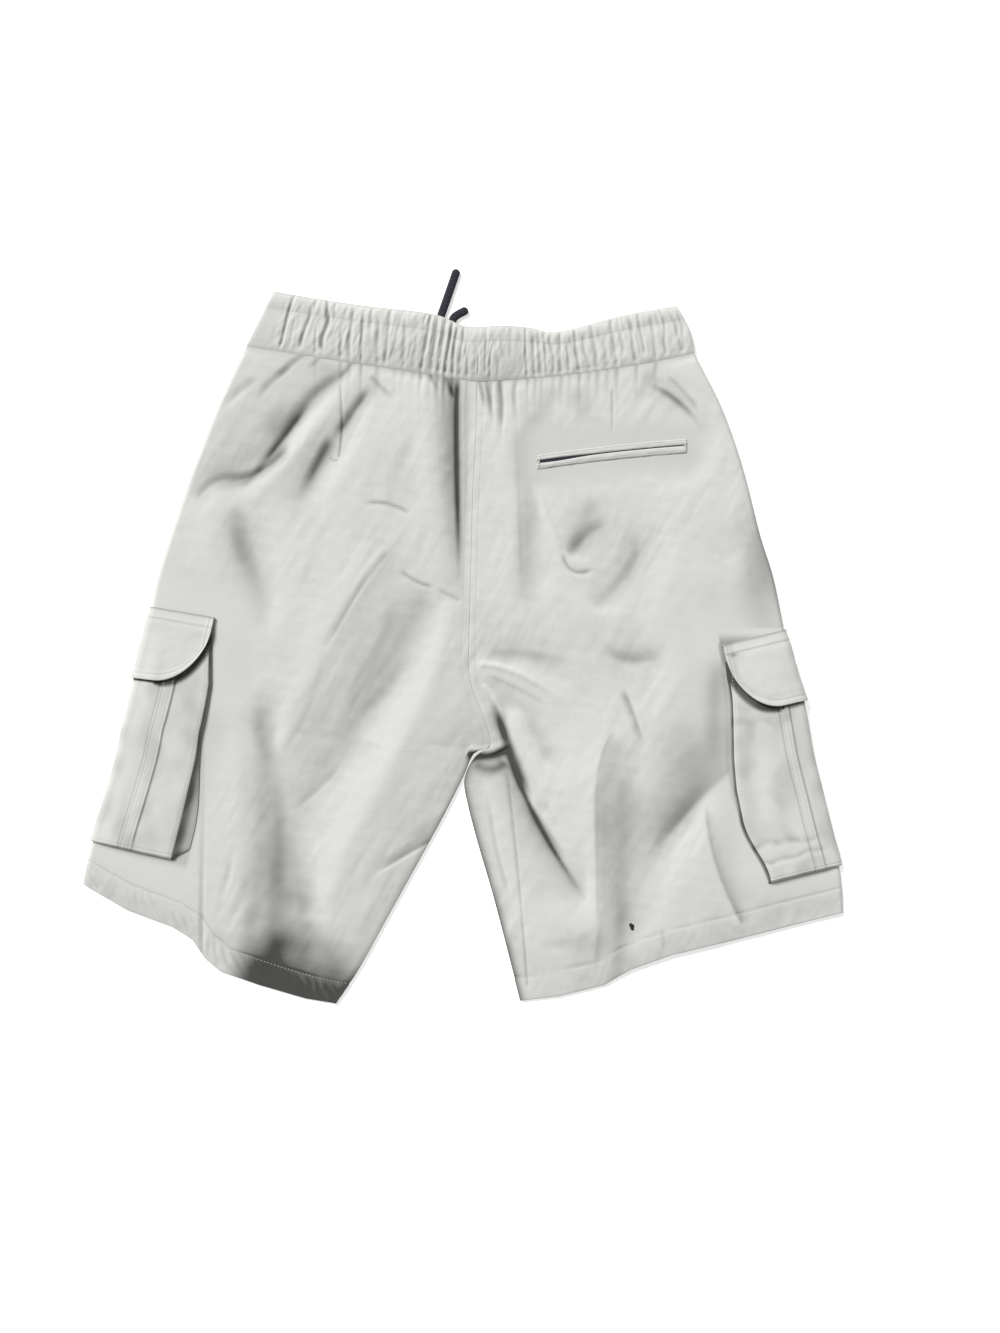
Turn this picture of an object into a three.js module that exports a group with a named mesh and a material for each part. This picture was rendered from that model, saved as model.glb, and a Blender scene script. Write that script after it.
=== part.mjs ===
// Cargo shorts laid flat on their front: back panels up, waistband toward +Y.
// Millimetres, +Z up. The origin is on the surface, under the middle of the outline.
import * as THREE from "three";

// Cloth, seams and how the garment lies
const WALL = 1.2;
const SEAM_GAP = 0.3;
const LAYER_GAP = 0.5;
const LAID_HEIGHT = 5.6;
const LOWEST_TROUGH = 3.6;
const FOLD_REACH = 4;
const FOLD_ARC = 5;
const HEM_EXTRA = 0.6;
const LAST_STATION = 15;

// Waistband: an elastic casing, stitched along its length and gathered
const CASING = 3.4;
const GATHERS = 52;
const GATHER_HEIGHT = 0.9;

// Cargo pockets and their flaps, measured from the flap's top edge
const POCKET_DROP = 205;
const MOUTH_DROP = 14;
const FLAP_LENGTH = 61;
const FLAP_WIDTH = 55;
const FLAP_CORNER = { across: 38, down: 50 };
const POCKET_UNDER = 66;
const BELLOWS = 3.2;
const PLEAT_RAISE = 1.1;

// Drawstring and the eyelets in the front of the band
const CORD_WIDTH = 7;
const CORD_THICKNESS = 3.6;
const EYELET = { radius: 6, bore: 3, thickness: 0.8 };
const EYELET_UNDERSIDE = CORD_THICKNESS + 0.4;
const BAND_LIFT = EYELET_UNDERSIDE + EYELET.thickness + SEAM_GAP;

const COLOURS = { cloth: 0xd2d4cd, cord: 0x16182a, metal: 0x8f8f8a };

const quarterTurn = Math.PI / 2;
const mix = (from, to, share) => from + (to - from) * share;
const clamp = THREE.MathUtils.clamp;
const smooth = (value, low, high) => THREE.MathUtils.smoothstep(value, low, high);
const evenly = (count, from, to) =>
  Array.from({ length: count + 1 }, (_, i) => mix(from, to, i / count));
const table = (columns, rows) =>
  rows.map((row) => Object.fromEntries(columns.map((column, i) => [column, row[i]])));

// A smooth curve through the rows' x and y, read at a row number with decimals.
function along(rows, at) {
  const i = clamp(Math.floor(at), 0, rows.length - 2);
  const f = at - i;
  const near = [-1, 0, 1, 2].map((step) => rows[clamp(i + step, 0, rows.length - 1)]);
  const blend = (key) => {
    const [a, b, c, d] = near.map((row) => row[key]);
    return b + 0.5 * f * (c - a + f * (2 * a - 5 * b + 4 * c - d + f * (3 * (b - c) + d - a)));
  };
  return { x: blend("x"), y: blend("y") };
}

// A value read between the rows of a table with columns at and value.
function between(rows, at) {
  const i = rows.findIndex((row) => row.at >= at);
  if (i <= 0) return rows[i === 0 ? 0 : rows.length - 1].value;
  const share = (at - rows[i - 1].at) / (rows[i].at - rows[i - 1].at);
  return mix(rows[i - 1].value, rows[i].value, share);
}

// The centre seam, waist to crotch. Each row is a station, and both legs share them.
const CENTRE_SEAM = table(["x", "y"], [
  [12, 226.5], [11, 178], [8.5, 130.5], [7, 75], [6, 32], [5.5, -21], [12, -44.5], [20.5, -66],
  [23, -83.5],
]);

// Each leg has 16 stations, waist seam to hem: its outer fold, then its inner edge below
// the crotch. Widths are of the pocket's back half, at four equal steps down.
const LEFT = {
  name: "left",
  outer: table(["x", "y"], [
    [-184.5, 256.5], [-207.5, 208.5], [-230.5, 149], [-249, 95.5], [-260, 59], [-265.5, 27.5],
    [-273.5, -8], [-279.5, -36], [-285, -57.5], [-288, -67.5], [-293, -91.5], [-302, -123.5],
    [-310, -148.5], [-316, -168], [-320.5, -185.5], [-323.5, -201],
  ]),
  inner: CENTRE_SEAM.concat(table(["x", "y"], [
    [9.5, -90.5], [0, -111], [-18, -146.5], [-41, -188.5], [-64, -230], [-87.5, -272.5],
    [-108, -303],
  ])),
  waistDrop: 0.5,
  hemDrop: table(["at", "value"], [
    [0, 0], [0.17, 4], [0.35, 0], [0.43, 3], [0.48, 14], [0.54, 19], [0.7, 15], [0.88, 8], [1, 0],
  ]),
  flapTop: 237,
  pocketSkew: 0,
  pocketWidths: table(["at", "value"], [[0, 55], [0.24, 64], [0.6, 68], [1, 71]]),
  pleat: { near: 24, far: 35 },
};
const RIGHT = {
  name: "right",
  outer: table(["x", "y"], [
    [197, 250.5], [220, 205.5], [238, 154.5], [252.5, 98], [264.5, 59], [274, 9], [279.5, -15],
    [286, -38], [291, -63.5], [293, -74.5], [296.5, -93], [305, -127], [312.5, -157],
    [319.5, -182.5], [322.5, -204.5], [323.5, -225],
  ]),
  inner: CENTRE_SEAM.concat(table(["x", "y"], [
    [10, -93], [1, -112.5], [4, -134.5], [13.5, -170.5], [24.5, -208], [36.5, -253.5],
    [48.5, -300.5],
  ])),
  waistDrop: 4.7,
  hemDrop: table(["at", "value"], [
    [0, 0], [0.34, -2], [0.53, -4], [0.66, -1], [0.74, 6], [0.88, 5], [1, 0],
  ]),
  flapTop: 249,
  pocketSkew: 0.13,
  pocketWidths: table(["at", "value"], [[0, 55], [0.24, 62], [0.6, 73], [1, 76]]),
  pleat: { near: 14, far: 22 },
};

// The largest folds. Each runs through three points. Left and right are its reach to
// either side as it is walked, start and end the share of its length it fades over.
const FOLDS = table(
  ["x0", "y0", "x1", "y1", "x2", "y2", "height", "left", "right", "start", "end"],
  [
    [-139, 223, -171, 185, -224, 155, 4, 10, 26, 0.1, 0.3],
    [-109, 229, -155, 176, -221, 141, -2.5, 12, 12, 0.2, 0.2],
    [-113, 215, -150, 164, -181, 121, 4.5, 10, 14, 0.3, 0.5],
    [-105, 189, -130, 147, -147, 108, -2, 10, 10, 0.3, 0.3],
    [-96, 172, -117, 134, -136, 96, 3.5, 14, 14, 0.4, 0.4],
    [-193, 119, -186, 83, -175, 36, -2, 20, 20, 0.3, 0.3],
    [-7, 228, -7, 91, -3, 36, 6, 10, 24, 0, 0.4],
    [-49, 105, -99.5, 23, -147, -57, 3.5, 12, 40, 0.2, 0.3],
    [-3, 6, -54, -96, -122, -206, 6, 36, 34, 0.3, 0.25],
    [-164, -53, -168, -130, -147, -236, -2.2, 20, 20, 0.3, 0.1],
    [-24, -164, -54, -182, -79, -198, -2, 9, 9, 0.2, 0.4],
    [-220, -55, -221, -150, -223, -245, -2, 9, 9, 0.3, 0],
    [12, -12, 48, -23, 93, -50, 2.4, 8, 8, 0.2, 0.5],
    [14, -33, 50, -121, 108, -225, 6.5, 28, 10, 0.1, 0.35],
    [65, 138, 82, 100, 106, 69, 3, 10, 12, 0.3, 0.3],
    [117, 104, 104, 90, 93, 78, -2, 9, 9, 0.3, 0.3],
    [138, 74, 126, 58, 112, 40, -2, 9, 9, 0.3, 0.3],
    [32, 223, 40, 202, 32, 117, 2.6, 9, 9, 0, 0.5],
    [49, 151, 52, 104, 50, 57, -2, 12, 12, 0.2, 0.2],
    [117, -2, 142, -2, 168, -7, 1.6, 12, 12, 0.3, 0.3],
    [138, -45, 146, -62, 152, -83, -1.8, 9, 9, 0.3, 0.3],
    [129, -62, 110, -130, 121, -266, -2.5, 16, 16, 0.2, 0.2],
    [150, -60, 152, -150, 175, -245, 3, 34, 28, 0.4, 0.3],
    [205, -30, 198, -95, 157, -172, -2.2, 16, 16, 0.2, 0.3],
    [214, -130, 220, -172, 235, -236, -1.8, 10, 10, 0.1, 0.1],
    [238, 134, 230, 83, 222, 23, 3, 12, 26, 0.3, 0.3],
    [159, 227, 178, 209, 199, 183, -2, 9, 9, 0.1, 0.2],
    [0, -86, 23, -82, 44, -75, 5, 16, 8, 0.2, 0.3],
  ],
);
const FOLD_STEPS = 12;
const FOLD_COURSES = FOLDS.map((fold) => {
  const ends = [new THREE.Vector2(fold.x0, fold.y0), new THREE.Vector2(fold.x2, fold.y2)];
  const middle = new THREE.Vector2(fold.x1, fold.y1);
  const control = middle.clone().multiplyScalar(2).addScaledVector(ends[0], -0.5)
    .addScaledVector(ends[1], -0.5);
  return new THREE.QuadraticBezierCurve(ends[0], control, ends[1]).getPoints(FOLD_STEPS);
});

// The welt pocket on the wearer's right back, as the line of its slit.
const WELT = { from: { x: 63, y: 158 }, to: { x: 190.5, y: 172 }, bow: 1.2, upper: 5.5, lower: 6.5 };
const WELT_CALM = 14;

// Height that one fold adds at a place: a soft bump across it, faded at both ends.
function foldRise(fold, course, x, y) {
  let best = { distance: Infinity };
  for (let i = 0; i < FOLD_STEPS; i += 1) {
    const [a, b] = [course[i], course[i + 1]];
    const run = { x: b.x - a.x, y: b.y - a.y };
    const squared = run.x * run.x + run.y * run.y;
    const share = clamp(((x - a.x) * run.x + (y - a.y) * run.y) / squared, 0, 1);
    const offset = { x: x - a.x - run.x * share, y: y - a.y - run.y * share };
    const distance = Math.hypot(offset.x, offset.y);
    if (distance < best.distance) {
      const left = run.x * offset.y - run.y * offset.x > 0;
      best = { distance, left, reached: (i + share) / FOLD_STEPS };
    }
  }
  const across = best.distance / (best.left ? fold.left : fold.right);
  if (across >= 1) return 0;
  const fadeIn = fold.start ? smooth(best.reached, 0, fold.start) : 1;
  const fadeOut = fold.end ? smooth(1 - best.reached, 0, fold.end) : 1;
  return fold.height * (1 - across * across) ** 2 * fadeIn * fadeOut;
}

const weltCalm = (x, y) => {
  const beyond = Math.max(WELT.from.x - x, x - WELT.to.x, 0);
  const share = (x - WELT.from.x) / (WELT.to.x - WELT.from.x);
  const aside = Math.abs(y - mix(WELT.from.y, WELT.to.y, share));
  return smooth(Math.hypot(beyond, Math.max(aside - WELT.lower - 2, 0)), 0, WELT_CALM);
};

// Where a leg's station lies along its outer fold, and the station at a distance down it.
const MEASURE_STEPS = 300;
for (const leg of [LEFT, RIGHT]) {
  leg.measures = [{ at: 0, value: 0 }];
  let last = along(leg.outer, 0);
  for (let i = 1; i <= MEASURE_STEPS; i += 1) {
    const station = (i / MEASURE_STEPS) * LAST_STATION;
    const next = along(leg.outer, station);
    const at = leg.measures[i - 1].at + Math.hypot(next.x - last.x, next.y - last.y);
    leg.measures.push({ at, value: station });
    last = next;
  }
}
const stationAt = (leg, distance) => between(leg.measures, distance);
const distanceAt = (leg, station) =>
  between(leg.measures.map(({ at, value }) => ({ at: value, value: at })), station);

// The rows of every panel: stations that lie about evenly down both legs' edges.
const PANEL_ROWS = 26;
const edgeLengths = [{ at: 0, value: 0 }];
for (let i = 1; i <= MEASURE_STEPS; i += 1) {
  const [here, next] = [(i - 1) / MEASURE_STEPS, i / MEASURE_STEPS];
  const travelled = [LEFT, RIGHT].flatMap((leg) => [leg.outer, leg.inner]).reduce((sum, edge) => {
    const from = along(edge, here * LAST_STATION);
    const to = along(edge, next * LAST_STATION);
    return sum + Math.hypot(to.x - from.x, to.y - from.y);
  }, edgeLengths[i - 1].at);
  edgeLengths.push({ at: travelled, value: next * LAST_STATION });
}
const ROW_STATIONS = evenly(PANEL_ROWS, 0, edgeLengths.at(-1).at)
  .map((travelled) => between(edgeLengths, travelled));

// One where a value is above zero, falling to zero over the ramp below it.
const CALM_RAMP = 16;
const ramp = (value) => smooth(value, -CALM_RAMP, 0);

// How far the layers of a cargo pocket and its flap lift the panels that lie on them.
const LIFT_MARGIN = 18;
const LIFT_RAMP = 28;
const LAYER = WALL + LAYER_GAP;
const liftRamp = (value) => smooth(value, -LIFT_RAMP, 0);
function pocketLift(leg, distance, across) {
  const down = distance + leg.pocketSkew * across - leg.flapTop;
  const inside = ramp(POCKET_UNDER + LIFT_MARGIN - across);
  const flap = liftRamp(down + LIFT_MARGIN) * liftRamp(FLAP_LENGTH + LIFT_MARGIN - down);
  const pocket = liftRamp(down - MOUTH_DROP + LIFT_MARGIN)
    * liftRamp(POCKET_DROP + LIFT_MARGIN - down);
  return LAYER * inside * (flap + pocket);
}
function pocketCalm(leg, distance, across) {
  const down = distance - leg.flapTop;
  const width = leg.pocketWidths.at(-1).value + 6;
  return 1 - ramp(down + 8) * ramp(POCKET_DROP + 10 - down) * ramp(width - across);
}

// The frame of one station: its ends in plan, its direction and length.
function stationFrame(leg, station) {
  const outer = along(leg.outer, station);
  const inner = along(leg.inner, station);
  const ahead = along(leg.inner, Math.min(station + 0.02, LAST_STATION));
  const behind = along(leg.inner, Math.max(station - 0.02, 0));
  const tangent = new THREE.Vector2(ahead.x - behind.x, ahead.y - behind.y).normalize();
  const inward = Math.sign(tangent.y * (outer.x - inner.x) - tangent.x * (outer.y - inner.y));
  inner.x += tangent.y * inward * SEAM_GAP * 0.5;
  inner.y -= tangent.x * inward * SEAM_GAP * 0.5;
  const length = Math.hypot(inner.x - outer.x, inner.y - outer.y);
  const direction = { x: (inner.x - outer.x) / length, y: (inner.y - outer.y) / length };
  const width = length - 2 * (FOLD_REACH - FOLD_ARC);
  const distance = distanceAt(leg, station);
  return { leg, station, outer, length, direction, width, distance };
}

const HEM_START = 13.7;
const hemExtra = (station) => HEM_EXTRA * smooth(station, HEM_START, HEM_START + 0.5);
const inseamShare = (station) => smooth(station, 8, 9.4);

// Height of the upper or lower outer face, before its edges are rounded over.
function faceHeight(frame, x, y, across, upper) {
  const lift = pocketLift(frame.leg, frame.distance, across);
  if (!upper) return lift;
  const calm = pocketCalm(frame.leg, frame.distance, across) * weltCalm(x, y);
  const folds = FOLDS.reduce((sum, fold, i) => sum + foldRise(fold, FOLD_COURSES[i], x, y), 0);
  const laid = LAID_HEIGHT + lift + folds * calm;
  const floor = LOWEST_TROUGH + lift + 2 * hemExtra(frame.station);
  return 0.5 * (laid + floor + Math.hypot(laid - floor, WALL));
}

// A point of a leg's outer face. Across is measured round the outer fold and over the cloth,
// above zero over the back, below zero under the front. Away moves it off the cloth.
function legPoint(frame, across, away = 0) {
  const upper = across >= 0;
  const side = upper ? 1 : -1;
  const run = Math.abs(across);
  const outerTurn = clamp(run / FOLD_ARC, 0, 1) * quarterTurn;
  const innerTurn = clamp((frame.width - run) / FOLD_ARC, 0, 1) * quarterTurn;
  const flat = clamp(run - FOLD_ARC, 0, frame.width - 2 * FOLD_ARC);
  const inward = FOLD_REACH * (1 - Math.cos(outerTurn) + Math.cos(innerTurn)) + flat;
  const share = inward / frame.length;
  const { leg, station, outer, direction } = frame;
  const waist = leg.waistDrop * 4 * share * (1 - share) * (1 - smooth(station, 0, 1.5));
  const hem = between(leg.hemDrop, share) * smooth(station, 12.2, LAST_STATION);
  const x = outer.x + direction.x * inward;
  const y = outer.y + direction.y * inward - waist - hem;
  const height = faceHeight(frame, x, y, run, upper);
  const seamed = inseamShare(station);
  const outerDip = 1 - Math.sin(outerTurn);
  const innerDip = (1 - Math.sin(innerTurn)) * seamed;
  const outerMiddle = LAID_HEIGHT / 2 + pocketLift(leg, frame.distance, 0);
  const middle = outerDip > 0 ? outerMiddle : LAID_HEIGHT / 2;
  const z = height + (middle + (side * SEAM_GAP) / 2 - height) * (outerDip + innerDip);
  const sideways = Math.cos(innerTurn) * seamed - Math.cos(outerTurn);
  const normal = new THREE.Vector3(
    direction.x * sideways, direction.y * sideways, side * (1 - outerDip - innerDip),
  ).normalize();
  return new THREE.Vector3(x, y, z).addScaledVector(normal, away);
}

// A closed body between an outer and an inner sheet of points, each rows by columns.
function walled(outerSheet, innerSheet) {
  const rows = outerSheet.length;
  const columns = outerSheet[0].length;
  const points = [...outerSheet.flat(), ...innerSheet.flat()];
  const outerAt = (i, j) => i * columns + j;
  const innerAt = (i, j) => rows * columns + i * columns + j;
  const faces = [];
  const quad = (a, b, c, d) => faces.push(a, b, c, a, c, d);
  for (let i = 0; i + 1 < rows; i += 1) {
    for (let j = 0; j + 1 < columns; j += 1) {
      quad(outerAt(i, j), outerAt(i, j + 1), outerAt(i + 1, j + 1), outerAt(i + 1, j));
      quad(innerAt(i, j), innerAt(i + 1, j), innerAt(i + 1, j + 1), innerAt(i, j + 1));
    }
    const end = columns - 1;
    quad(outerAt(i, 0), outerAt(i + 1, 0), innerAt(i + 1, 0), innerAt(i, 0));
    quad(outerAt(i, end), innerAt(i, end), innerAt(i + 1, end), outerAt(i + 1, end));
  }
  for (let j = 0; j + 1 < columns; j += 1) {
    const end = rows - 1;
    quad(outerAt(0, j), innerAt(0, j), innerAt(0, j + 1), outerAt(0, j + 1));
    quad(outerAt(end, j), outerAt(end, j + 1), innerAt(end, j + 1), innerAt(end, j));
  }
  let volume = 0;
  for (let i = 0; i < faces.length; i += 3) {
    const [a, b, c] = faces.slice(i, i + 3).map((index) => points[index]);
    volume += a.dot(b.clone().cross(c));
  }
  const geometry = new THREE.BufferGeometry();
  geometry.setAttribute("position", new THREE.Float32BufferAttribute(
    points.flatMap((point) => point.toArray()), 3));
  geometry.setIndex(volume > 0 ? faces : faces.reverse());
  geometry.computeVertexNormals();
  return geometry;
}

const shorts = new THREE.Group();
function add(name, geometry, colour = COLOURS.cloth, roughness = 0.9, metalness = 0) {
  const material = new THREE.MeshStandardMaterial({ color: colour, roughness, metalness });
  const mesh = new THREE.Mesh(geometry, material);
  mesh.name = name;
  shorts.add(mesh);
}

// Leg panels. The slope of a fold thins a wall that is measured upright, so it is thickened.
const SLOPE_STEP = 1.5;
const STEEPEST = 1.35;
function panelWall(frame, across) {
  const upper = across >= 0;
  const run = Math.abs(across);
  const flat = run > FOLD_ARC && run < frame.width - FOLD_ARC;
  const thickness = WALL + hemExtra(frame.station);
  if (!upper || !flat) return thickness;
  const [before, here, after] = [-SLOPE_STEP, 0, SLOPE_STEP].map((step) =>
    legPoint(frame, clamp(across + step, FOLD_ARC, frame.width - FOLD_ARC)));
  const slope = Math.max(Math.abs(before.z - here.z), Math.abs(after.z - here.z)) / SLOPE_STEP;
  return thickness * Math.min(Math.hypot(1, slope), STEEPEST);
}
function panel(leg, side, besidePocket, beyondPocket) {
  const sheets = [[], []];
  for (const station of ROW_STATIONS) {
    const frame = stationFrame(leg, station);
    const crossings = [
      ...evenly(4, 0, FOLD_ARC),
      ...besidePocket,
      ...evenly(beyondPocket, besidePocket.at(-1), frame.width - FOLD_ARC).slice(1),
      ...evenly(3, frame.width - FOLD_ARC, frame.width).slice(1),
    ].map((across) => (across === 0 ? side * 1e-6 : side * across));
    sheets[0].push(crossings.map((across) => legPoint(frame, across)));
    sheets[1].push(crossings.map((across) => legPoint(frame, across, -panelWall(frame, across))));
  }
  return walled(...sheets);
}
const BACK_COLUMNS = evenly(8, FOLD_ARC, 93).slice(1);
const FRONT_COLUMNS = [40, 78, 96];
for (const leg of [LEFT, RIGHT]) {
  add(`back_${leg.name}`, panel(leg, 1, BACK_COLUMNS, 11));
  add(`front_${leg.name}`, panel(leg, -1, FRONT_COLUMNS, 3));
}

// Cargo pockets wrap the outer fold. The pleated back half stands off on a bellows edge.
function bellows(width, across, down) {
  if (across < 0) return 0.35 * BELLOWS * (1 - smooth(-across, 0, FOLD_ARC));
  const edge = smooth(width - across, 0, 3) * smooth(POCKET_DROP - down, 0, 3);
  return BELLOWS * edge * mix(0.35, 1, smooth(across, 0, 18));
}
const pocketWidth = (leg, down) =>
  between(leg.pocketWidths, (down - MOUTH_DROP) / (POCKET_DROP - MOUTH_DROP));
function onPocket(leg, down, across, away) {
  const distance = leg.flapTop + down + leg.pocketSkew * across;
  return legPoint(stationFrame(leg, stationAt(leg, distance)), across, away);
}
function cargoPocket(leg) {
  const sheets = [[], []];
  const downs = [...evenly(9, MOUTH_DROP, POCKET_DROP - 3), POCKET_DROP];
  for (const down of downs) {
    const width = pocketWidth(leg, down);
    const { near, far } = leg.pleat;
    const crossings = [
      width, width - 3, mix(width, far, 0.55), far + 1.5, far, near, near - 1.5, FOLD_ARC,
      ...evenly(4, FOLD_ARC, -FOLD_ARC).slice(1), -POCKET_UNDER * 0.5, -POCKET_UNDER,
    ];
    for (const [side, thickness] of [[0, WALL], [1, 0]]) {
      sheets[side].push(crossings.map((across) => {
        const pleat = across >= near && across <= far && thickness > 0 ? PLEAT_RAISE : 0;
        const foot = across === width ? thickness * 0.9 : 0;
        const stand = bellows(width, across, down) + pleat * smooth(POCKET_DROP - down, 0, 12);
        const hem = down === POCKET_DROP && across > 0 ? thickness * 0.9 : 0;
        return onPocket(leg, down + hem, across + foot, LAYER_GAP + stand + thickness);
      }));
    }
  }
  return walled(...sheets);
}

// Flaps lie over the pocket's mouth. The lower back corner is rounded off as an ellipse.
function cargoFlap(leg) {
  const sheets = [[], []];
  const corner = FLAP_CORNER.across;
  const crossings = [
    ...evenly(6, 0, 1).map((share) => FLAP_WIDTH - corner + corner * Math.cos(share * quarterTurn)),
    FOLD_ARC, ...evenly(4, FOLD_ARC, -FOLD_ARC).slice(1), -POCKET_UNDER * 0.5, -POCKET_UNDER,
  ];
  for (const share of evenly(5, 0, 1)) {
    for (const [side, thickness] of [[0, WALL], [1, 0]]) {
      sheets[side].push(crossings.map((across) => {
        const over = clamp((across - FLAP_WIDTH + corner) / corner, 0, 1);
        const cut = FLAP_CORNER.down * (1 - Math.sqrt(1 - over * over));
        const down = share * (FLAP_LENGTH - cut);
        const covered = smooth(down, 0, MOUTH_DROP - 2);
        const overPleat = PLEAT_RAISE * smooth(across, 0, leg.pleat.near - 4);
        const width = pocketWidth(leg, down) + 3;
        const stand = covered * (bellows(width, across, down) + overPleat + LAYER);
        return onPocket(leg, down, across, LAYER_GAP + stand + thickness);
      }));
    }
  }
  return walled(...sheets);
}
for (const leg of [LEFT, RIGHT]) {
  add(`cargo_pocket_${leg.name}`, cargoPocket(leg));
  add(`cargo_flap_${leg.name}`, cargoFlap(leg));
}

// Welt pocket: two narrow welts lie on the back panel on either side of the slit.
const backFrameAt = (y) => stationFrame(RIGHT, clamp((226.5 - y) / 48, 0, 3));
function welt(from, to) {
  const sheets = [[], []];
  for (const share of evenly(12, 0, 1)) {
    const x = mix(WELT.from.x, WELT.to.x, share);
    const slit = mix(WELT.from.y, WELT.to.y, share) + WELT.bow * 4 * share * (1 - share);
    for (const [side, thickness] of [[0, WALL], [1, 0]]) {
      sheets[side].push([from, to].map((offset) => {
        const y = slit + offset;
        const z = faceHeight(backFrameAt(y), x, y, FLAP_WIDTH, true);
        return new THREE.Vector3(x, y, z + LAYER_GAP + thickness);
      }));
    }
  }
  return walled(...sheets);
}
add("welt_upper", welt(0.4, WELT.upper));
add("welt_lower", welt(-WELT.lower, -0.4));

// Waistband. Its lower edge follows the legs' top edges, and share runs left to right.
const BAND_TOP = table(["x", "y"], [
  [-161.5, 303], [-124, 296.5], [-79, 289.5], [-25.5, 282.5], [3.5, 272], [33, 273], [57, 271.5],
  [81, 268.5], [137, 282.5], [182, 290.5],
]);
const BAND_TOP_SHARES = BAND_TOP.map(({ x }) =>
  (x - BAND_TOP[0].x) / (BAND_TOP.at(-1).x - BAND_TOP[0].x));
const BAND_ROWS = table(["at", "back", "front"], [
  [0, 1.4, 1.6], [0.14, 3.1, 3], [0.3, 3.7, CASING], [0.72, 2.7, CASING], [0.86, 3.4, CASING],
  [1, 1.4, 2.4],
]);
const topFrames = [LEFT, RIGHT].map((leg) => stationFrame(leg, 0));
const BAND_MIDDLE = topFrames[0].length / (topFrames[0].length + topFrames[1].length);
function bandPlan(share, up) {
  const left = share <= BAND_MIDDLE;
  const frame = topFrames[left ? 0 : 1];
  const part = left ? share / BAND_MIDDLE : (1 - share) / (1 - BAND_MIDDLE);
  const across = mix(0, frame.width, part);
  const seam = legPoint(frame, across);
  const i = clamp(BAND_TOP_SHARES.findIndex((value) => value >= share), 1, BAND_TOP.length - 1);
  const within = (share - BAND_TOP_SHARES[i - 1]) / (BAND_TOP_SHARES[i] - BAND_TOP_SHARES[i - 1]);
  const top = along(BAND_TOP, i - 1 + within);
  const bulge = share > 0.9 ? ((share - 0.9) / 0.1) * 3.4 * Math.sin(up * Math.PI) : 0;
  const x = mix(seam.x, top.x, up) + bulge;
  const y = mix(seam.y + SEAM_GAP, top.y, up);
  return { x, y };
}
// The cords run out under the band, which rides over them between these places along it.
const BAND_RAISED = { from: -42, to: 16, ramp: 31 };
function bandRise(x, up) {
  const { from, to, ramp: reach } = BAND_RAISED;
  return BAND_LIFT * smooth(x, from - reach, from) * smooth(-x, -to - reach, -to)
    * smooth(up, 0.02, 0.28);
}
function gather(index, up) {
  const share = index / (2 * GATHERS);
  const plain = smooth(share, 0.05, 0.12) * (1 - 0.7 * smooth(share, 0.56, 0.6)
    * smooth(-share, -0.68, -0.64));
  const uneven = 0.6 + 0.4 * Math.sin(index * 2.4) * Math.sin(index * 0.7);
  const crest = index % 2 ? -1 : 0.6;
  const held = 1 - 0.6 * smooth(-Math.abs(up - 0.72), -0.12, 0);
  return GATHER_HEIGHT * plain * uneven * crest * held;
}
function band(shares, bottom, height) {
  const sheets = [[], []];
  shares.forEach((share, index) => {
    const edge = Math.min(share, 1 - share) / 0.015;
    const round = mix(0.5, 1, Math.sqrt(1 - (1 - clamp(edge, 0, 1)) ** 2));
    for (const side of [0, 1]) {
      sheets[side].push(BAND_ROWS.map((row) => {
        const { x, y } = bandPlan(share, row.at);
        const top = side === 0 ? height(row, index) * round : 0;
        return new THREE.Vector3(x, y, bottom + bandRise(x, row.at) + top);
      }));
    }
  });
  return walled(...sheets);
}
const gatherShares = evenly(2 * GATHERS, 0, 1).map((share, i, all) =>
  (i === 0 || i + 1 === all.length ? share : share + 0.0022 * Math.sin(i * 1.9)));
const CLOSE_STEP = 0.0145;
const frontShares = [
  ...evenly(6, 0, 0.22), ...evenly(Math.round(0.44 / CLOSE_STEP), 0.22, 0.66).slice(1),
  ...evenly(8, 0.66, 1).slice(1),
];
add("waistband_front", band(frontShares, 0, (row) => row.front));
add("waistband_back", band(gatherShares, CASING + SEAM_GAP, (row, index) =>
  row.back + gather(index, row.at)));

// Drawstring: each end leaves its eyelet, runs out under the band and lies on the surface.
const CORDS = {
  left: [[-32, 254], [-24.5, 268], [-19.5, 281], [-5, 322.5]],
  right: [[6, 249], [-7.5, 265], [-8.5, 280], [4, 288.5]],
};
const CORD_SIDES = 8;
const CORD_STEP = 5;
for (const [name, route] of Object.entries(CORDS)) {
  const points = route.map(([x, y]) => new THREE.Vector3(x, y, CORD_THICKNESS / 2 + 0.1));
  const path = new THREE.CatmullRomCurve3(points, false, "centripetal");
  const section = new THREE.Shape(Array.from({ length: CORD_SIDES }, (_, i) => {
    const turn = ((i + 0.5) / CORD_SIDES) * 2 * Math.PI;
    return new THREE.Vector2(
      (Math.cos(turn) * CORD_THICKNESS) / 2, (Math.sin(turn) * CORD_WIDTH) / 2);
  }));
  const steps = Math.round(path.getLength() / CORD_STEP);
  const cord = new THREE.ExtrudeGeometry(section, { steps, extrudePath: path, bevelEnabled: false });
  add(`drawstring_${name}`, cord, COLOURS.cord, 0.8);
  const half = EYELET.thickness / 2;
  const ring = new THREE.LatheGeometry([
    new THREE.Vector2(EYELET.bore, -half), new THREE.Vector2(EYELET.radius, -half),
    new THREE.Vector2(EYELET.radius, half), new THREE.Vector2(EYELET.bore, half),
    new THREE.Vector2(EYELET.bore, -half),
  ], 14);
  ring.rotateX(quarterTurn);
  ring.translate(points[0].x, points[0].y, EYELET_UNDERSIDE + half);
  add(`eyelet_${name}`, ring, COLOURS.metal, 0.35, 0.9);
}

export default shorts;
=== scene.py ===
import math

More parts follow.
